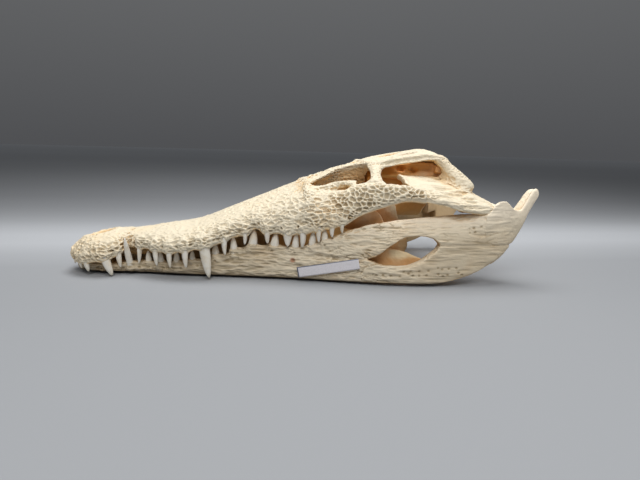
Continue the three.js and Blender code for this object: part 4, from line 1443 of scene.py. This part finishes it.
def tooth_tree():
    tree = bpy.data.node_groups.new("teeth", "GeometryNodeTree")
    tree.interface.new_socket("Geometry", in_out="INPUT", socket_type="NodeSocketGeometry")
    tree.interface.new_socket("Sides", in_out="INPUT", socket_type="NodeSocketInt")
    tree.interface.new_socket("Bend", in_out="INPUT", socket_type="NodeSocketFloat")
    tree.interface.new_socket("Geometry", in_out="OUTPUT", socket_type="NodeSocketGeometry")
    nodes, links = tree.nodes, tree.links

    def add(kind, values=(), **settings):
        node = nodes.new(kind)
        for name, value in settings.items():
            setattr(node, name, value)
        for key, value in dict(values).items():
            if hasattr(value, "is_output"):
                links.new(value, node.inputs[key])
            else:
                node.inputs[key].default_value = value
        return node

    given = add("NodeGroupInput")
    line = add("GeometryNodeCurvePrimitiveLine", {"End": (0, 0, 1)})
    steps = add("GeometryNodeResampleCurve", {"Curve": line.outputs["Curve"], "Count": 14})
    share = add("GeometryNodeSplineParameter")
    profile = add("ShaderNodeFloatCurve", {"Value": share.outputs["Factor"]})
    points = profile.mapping.curves[0].points
    for place, value in ((0.0, 0.96), (1.0, 0.03)):
        points[int(place)].location = (place, value)
    for place, value in ((0.3, 1.0), (0.6, 0.78), (0.85, 0.42), (0.96, 0.18)):
        points.new(place, value)
    bend = add("ShaderNodeMath", {0: share.outputs["Factor"], 1: 2.0}, operation="POWER")
    shift = add("ShaderNodeMath", {0: bend.outputs[0], 1: given.outputs["Bend"]}, operation="MULTIPLY")
    offset = add("ShaderNodeCombineXYZ", {"Y": shift.outputs[0]})
    bent = add("GeometryNodeSetPosition", {"Geometry": steps.outputs["Curve"], "Offset": offset.outputs[0]})
    ring = add("GeometryNodeCurvePrimitiveCircle", {"Resolution": given.outputs["Sides"], "Radius": 1.0})
    cone = add("GeometryNodeCurveToMesh", {
        "Curve": bent.outputs["Geometry"], "Profile Curve": ring.outputs["Curve"],
        "Scale": profile.outputs[0], "Fill Caps": True,
    })
    axis = add("GeometryNodeInputNamedAttribute", {"Name": "axis"}, data_type="FLOAT_VECTOR")
    size = add("GeometryNodeInputNamedAttribute", {"Name": "size"}, data_type="FLOAT_VECTOR")
    turn = add("FunctionNodeAlignRotationToVector", {"Vector": axis.outputs[0]}, axis="Z", pivot_axis="AUTO")
    set_teeth = add("GeometryNodeInstanceOnPoints", {
        "Points": given.outputs["Geometry"], "Instance": cone.outputs["Mesh"], "Rotation": turn.outputs[0],
        "Scale": size.outputs[0],
    })
    real = add("GeometryNodeRealizeInstances", {"Geometry": set_teeth.outputs[0]})
    smooth = add("GeometryNodeSetShadeSmooth", {"Geometry": real.outputs[0]})
    coated = add("GeometryNodeSetMaterial", {"Geometry": smooth.outputs[0], "Material": tooth_material})
    result = add("NodeGroupOutput")
    links.new(coated.outputs[0], result.inputs[0])
    return tree


def socket_id(tree, name):
    inputs = (item for item in tree.interface.items_tree if item.in_out == "INPUT")
    return next(item.identifier for item in inputs if item.name == name)


teeth = tooth_tree()


def add_teeth(name, necks, tips, radii):
    necks, tips, radii = (np.array(values, float) for values in (necks, tips, radii))
    mesh = bpy.data.meshes.new(name + "_sockets")
    mesh.from_pydata((necks * MM).tolist(), [], [])
    axis = (tips - necks) * MM
    size = np.stack([radii * MM, radii * TOOTH_FLATNESS * MM, np.linalg.norm(axis, axis=1)], -1)
    for label, values in (("axis", axis), ("size", size)):
        stored = mesh.attributes.new(label, "FLOAT_VECTOR", "POINT").data
        stored.foreach_set("vector", values.astype(np.float32).ravel())
    holder = shown(name + "_sockets", mesh)
    modifier = holder.modifiers.new("teeth", "NODES")
    modifier.node_group = teeth
    modifier[socket_id(teeth, "Sides")] = TOOTH_SIDES
    modifier[socket_id(teeth, "Bend")] = TOOTH_BEND
    bpy.context.view_layer.update()
    made = bpy.data.meshes.new_from_object(holder.evaluated_get(bpy.context.evaluated_depsgraph_get()))
    made.name = name
    bpy.data.objects.remove(holder)
    piece = shown(name, made)
    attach(piece, "root")


upper_rows = [(side, *row) for side in (-1, 1) for row in PREMAXILLA_TEETH + MAXILLA_TEETH]
add_teeth(
    "teeth_upper",
    [(x, side * upper_tooth_out(x, r), tooth_line(x) + TOOTH_ROOT) for side, x, _, r, _ in upper_rows],
    [(x + lean, side * (upper_tooth_out(x, r) + 0.5), tip) for side, x, tip, r, lean in upper_rows],
    [r for _, _, _, r, _ in upper_rows],
)
USUAL_PUSH = 0.5  # how far the tip of a lower tooth leans outwards
lower_rows = [(side, *row, USUAL_PUSH)[:6] for side in (-1, 1) for row in DENTARY_TEETH]
add_teeth(
    "teeth_lower",
    [(x, side * lower_tooth_out(x, r, push), lower_rim(x) - TOOTH_ROOT)
     for side, x, _, r, _, push in lower_rows],
    [(x + lean, side * (lower_tooth_out(x, r, push) + push), tip)
     for side, x, tip, r, lean, push in lower_rows],
    [r for _, _, _, r, _, _ in lower_rows],
)


# --------------------------------------------------------------------------------------------------
# Label: a strip of white paper on the left side of the jaw, with a thin printed line along its front and
# upper edges. It bears nothing else.

LABEL_LENGTH = 57
LABEL_HEIGHT = 9.6
LABEL_THICKNESS = 0.5
LABEL_STEPS = (48, 8)
LABEL_BOW = 0.6
LABEL_TILT = 0.2
LABEL_TURN = -0.27
LABEL_GAP = 0.9  # from the side of the jaw to the strip's inner face
LABEL_X = 22
LABEL_Y = -float(lower_half_width(LABEL_X)) - LABEL_GAP
LABEL_Z = 14.5

label_material, label_shader, tone = material_tree("label_paper")
place = tone.node("ShaderNodeTexCoord", output="UV")
line_mask = (1 - place.along("X").between(0.012, 0.022)) + place.along("Y").between(0.9, 0.95)
paper_grain = tone.noise(tone.node("ShaderNodeTexCoord", output="Object"), 700, 2)
paper_colour = paper_grain.between(0.3, 0.7).mix((0.80, 0.77, 0.80, 1), (0.74, 0.71, 0.73, 1))
line_mask.mix(paper_colour, (0.12, 0.14, 0.2, 1)).feed(label_shader, "Base Color")
label_shader.inputs["Roughness"].default_value = 0.55


def label_point(u, v, depth):
    """A place on the strip: u from its front end, v from its lower edge, both from 0 to 1."""
    along, rise = (u - 0.5) * LABEL_LENGTH, (v - 0.5) * LABEL_HEIGHT
    x = along * math.cos(LABEL_TILT) - rise * math.sin(LABEL_TILT)
    z = along * math.sin(LABEL_TILT) + rise * math.cos(LABEL_TILT)
    y = -LABEL_THICKNESS * depth - LABEL_BOW * math.cos(math.pi * (u - 0.5))
    return (
        LABEL_X + x * math.cos(LABEL_TURN) - y * math.sin(LABEL_TURN),
        LABEL_Y + x * math.sin(LABEL_TURN) + y * math.cos(LABEL_TURN),
        LABEL_Z + z,
    )


def label_sheet():
    columns, rows = LABEL_STEPS
    points, faces, marks = [], [], []
    for depth in (0, 1):
        for i in range(columns + 1):
            for j in range(rows + 1):
                points.append(label_point(i / columns, j / rows, depth))
                marks.append((i / columns, j / rows))
    layer = (columns + 1) * (rows + 1)

    def at(i, j, depth):
        return depth * layer + i * (rows + 1) + j

    for i in range(columns):
        for j in range(rows):
            faces.append((at(i, j, 1), at(i + 1, j, 1), at(i + 1, j + 1, 1), at(i, j + 1, 1)))
            faces.append((at(i, j, 0), at(i, j + 1, 0), at(i + 1, j + 1, 0), at(i + 1, j, 0)))
    for i in range(columns):
        faces.append((at(i, 0, 0), at(i + 1, 0, 0), at(i + 1, 0, 1), at(i, 0, 1)))
        faces.append((at(i, rows, 1), at(i + 1, rows, 1), at(i + 1, rows, 0), at(i, rows, 0)))
    for j in range(rows):
        faces.append((at(0, j, 1), at(0, j + 1, 1), at(0, j + 1, 0), at(0, j, 0)))
        faces.append((at(columns, j, 0), at(columns, j + 1, 0), at(columns, j + 1, 1), at(columns, j, 1)))
    return np.array(points), np.array(faces), np.array(marks)


label_points, label_faces, label_marks = label_sheet()
label = add_piece(
    "paper_label_strip", label_points, label_faces, label_material, "paper_label",
)
label_uv = label.data.uv_layers.new(name="strip")
label_uv.data.foreach_set("uv", label_marks[label_faces.ravel()].astype(np.float32).ravel())


# --------------------------------------------------------------------------------------------------
# Closed-in shade: the bone is painted darker and warmer where it is closed in, as painted shade and bounced
# light. How closed in a place is comes from how much skin lies round a point a little way out from it.

CLOSED_SHADE_STEP = 4.0
CLOSED_SHADE_REACH = 9.0
closed_shade_low = np.array([-240.0, -100.0, -20.0])
closed_shade_shape = (120, 50, 42)
crowd = np.zeros(closed_shade_shape)
for _, points, _ in skins:
    cell = np.floor((points - closed_shade_low) / CLOSED_SHADE_STEP).astype(int)
    np.add.at(crowd, tuple(cell.T), 1.0)
crowd = softened(crowd * (STEP / CLOSED_SHADE_STEP) ** 2, 6)
for mesh, points, normal in skins:
    spot = (points + CLOSED_SHADE_REACH * normal - closed_shade_low) / CLOSED_SHADE_STEP - 0.5
    cell = np.clip(np.floor(spot).astype(int), 0, np.array(closed_shade_shape) - 2)
    share = np.clip(spot - cell, 0, 1)
    around = sum(weight * crowd[tuple((cell + corner).T)] for corner, weight in corner_weights(share))
    paint(mesh, "closed", step_between(0.16, 0.5, around))
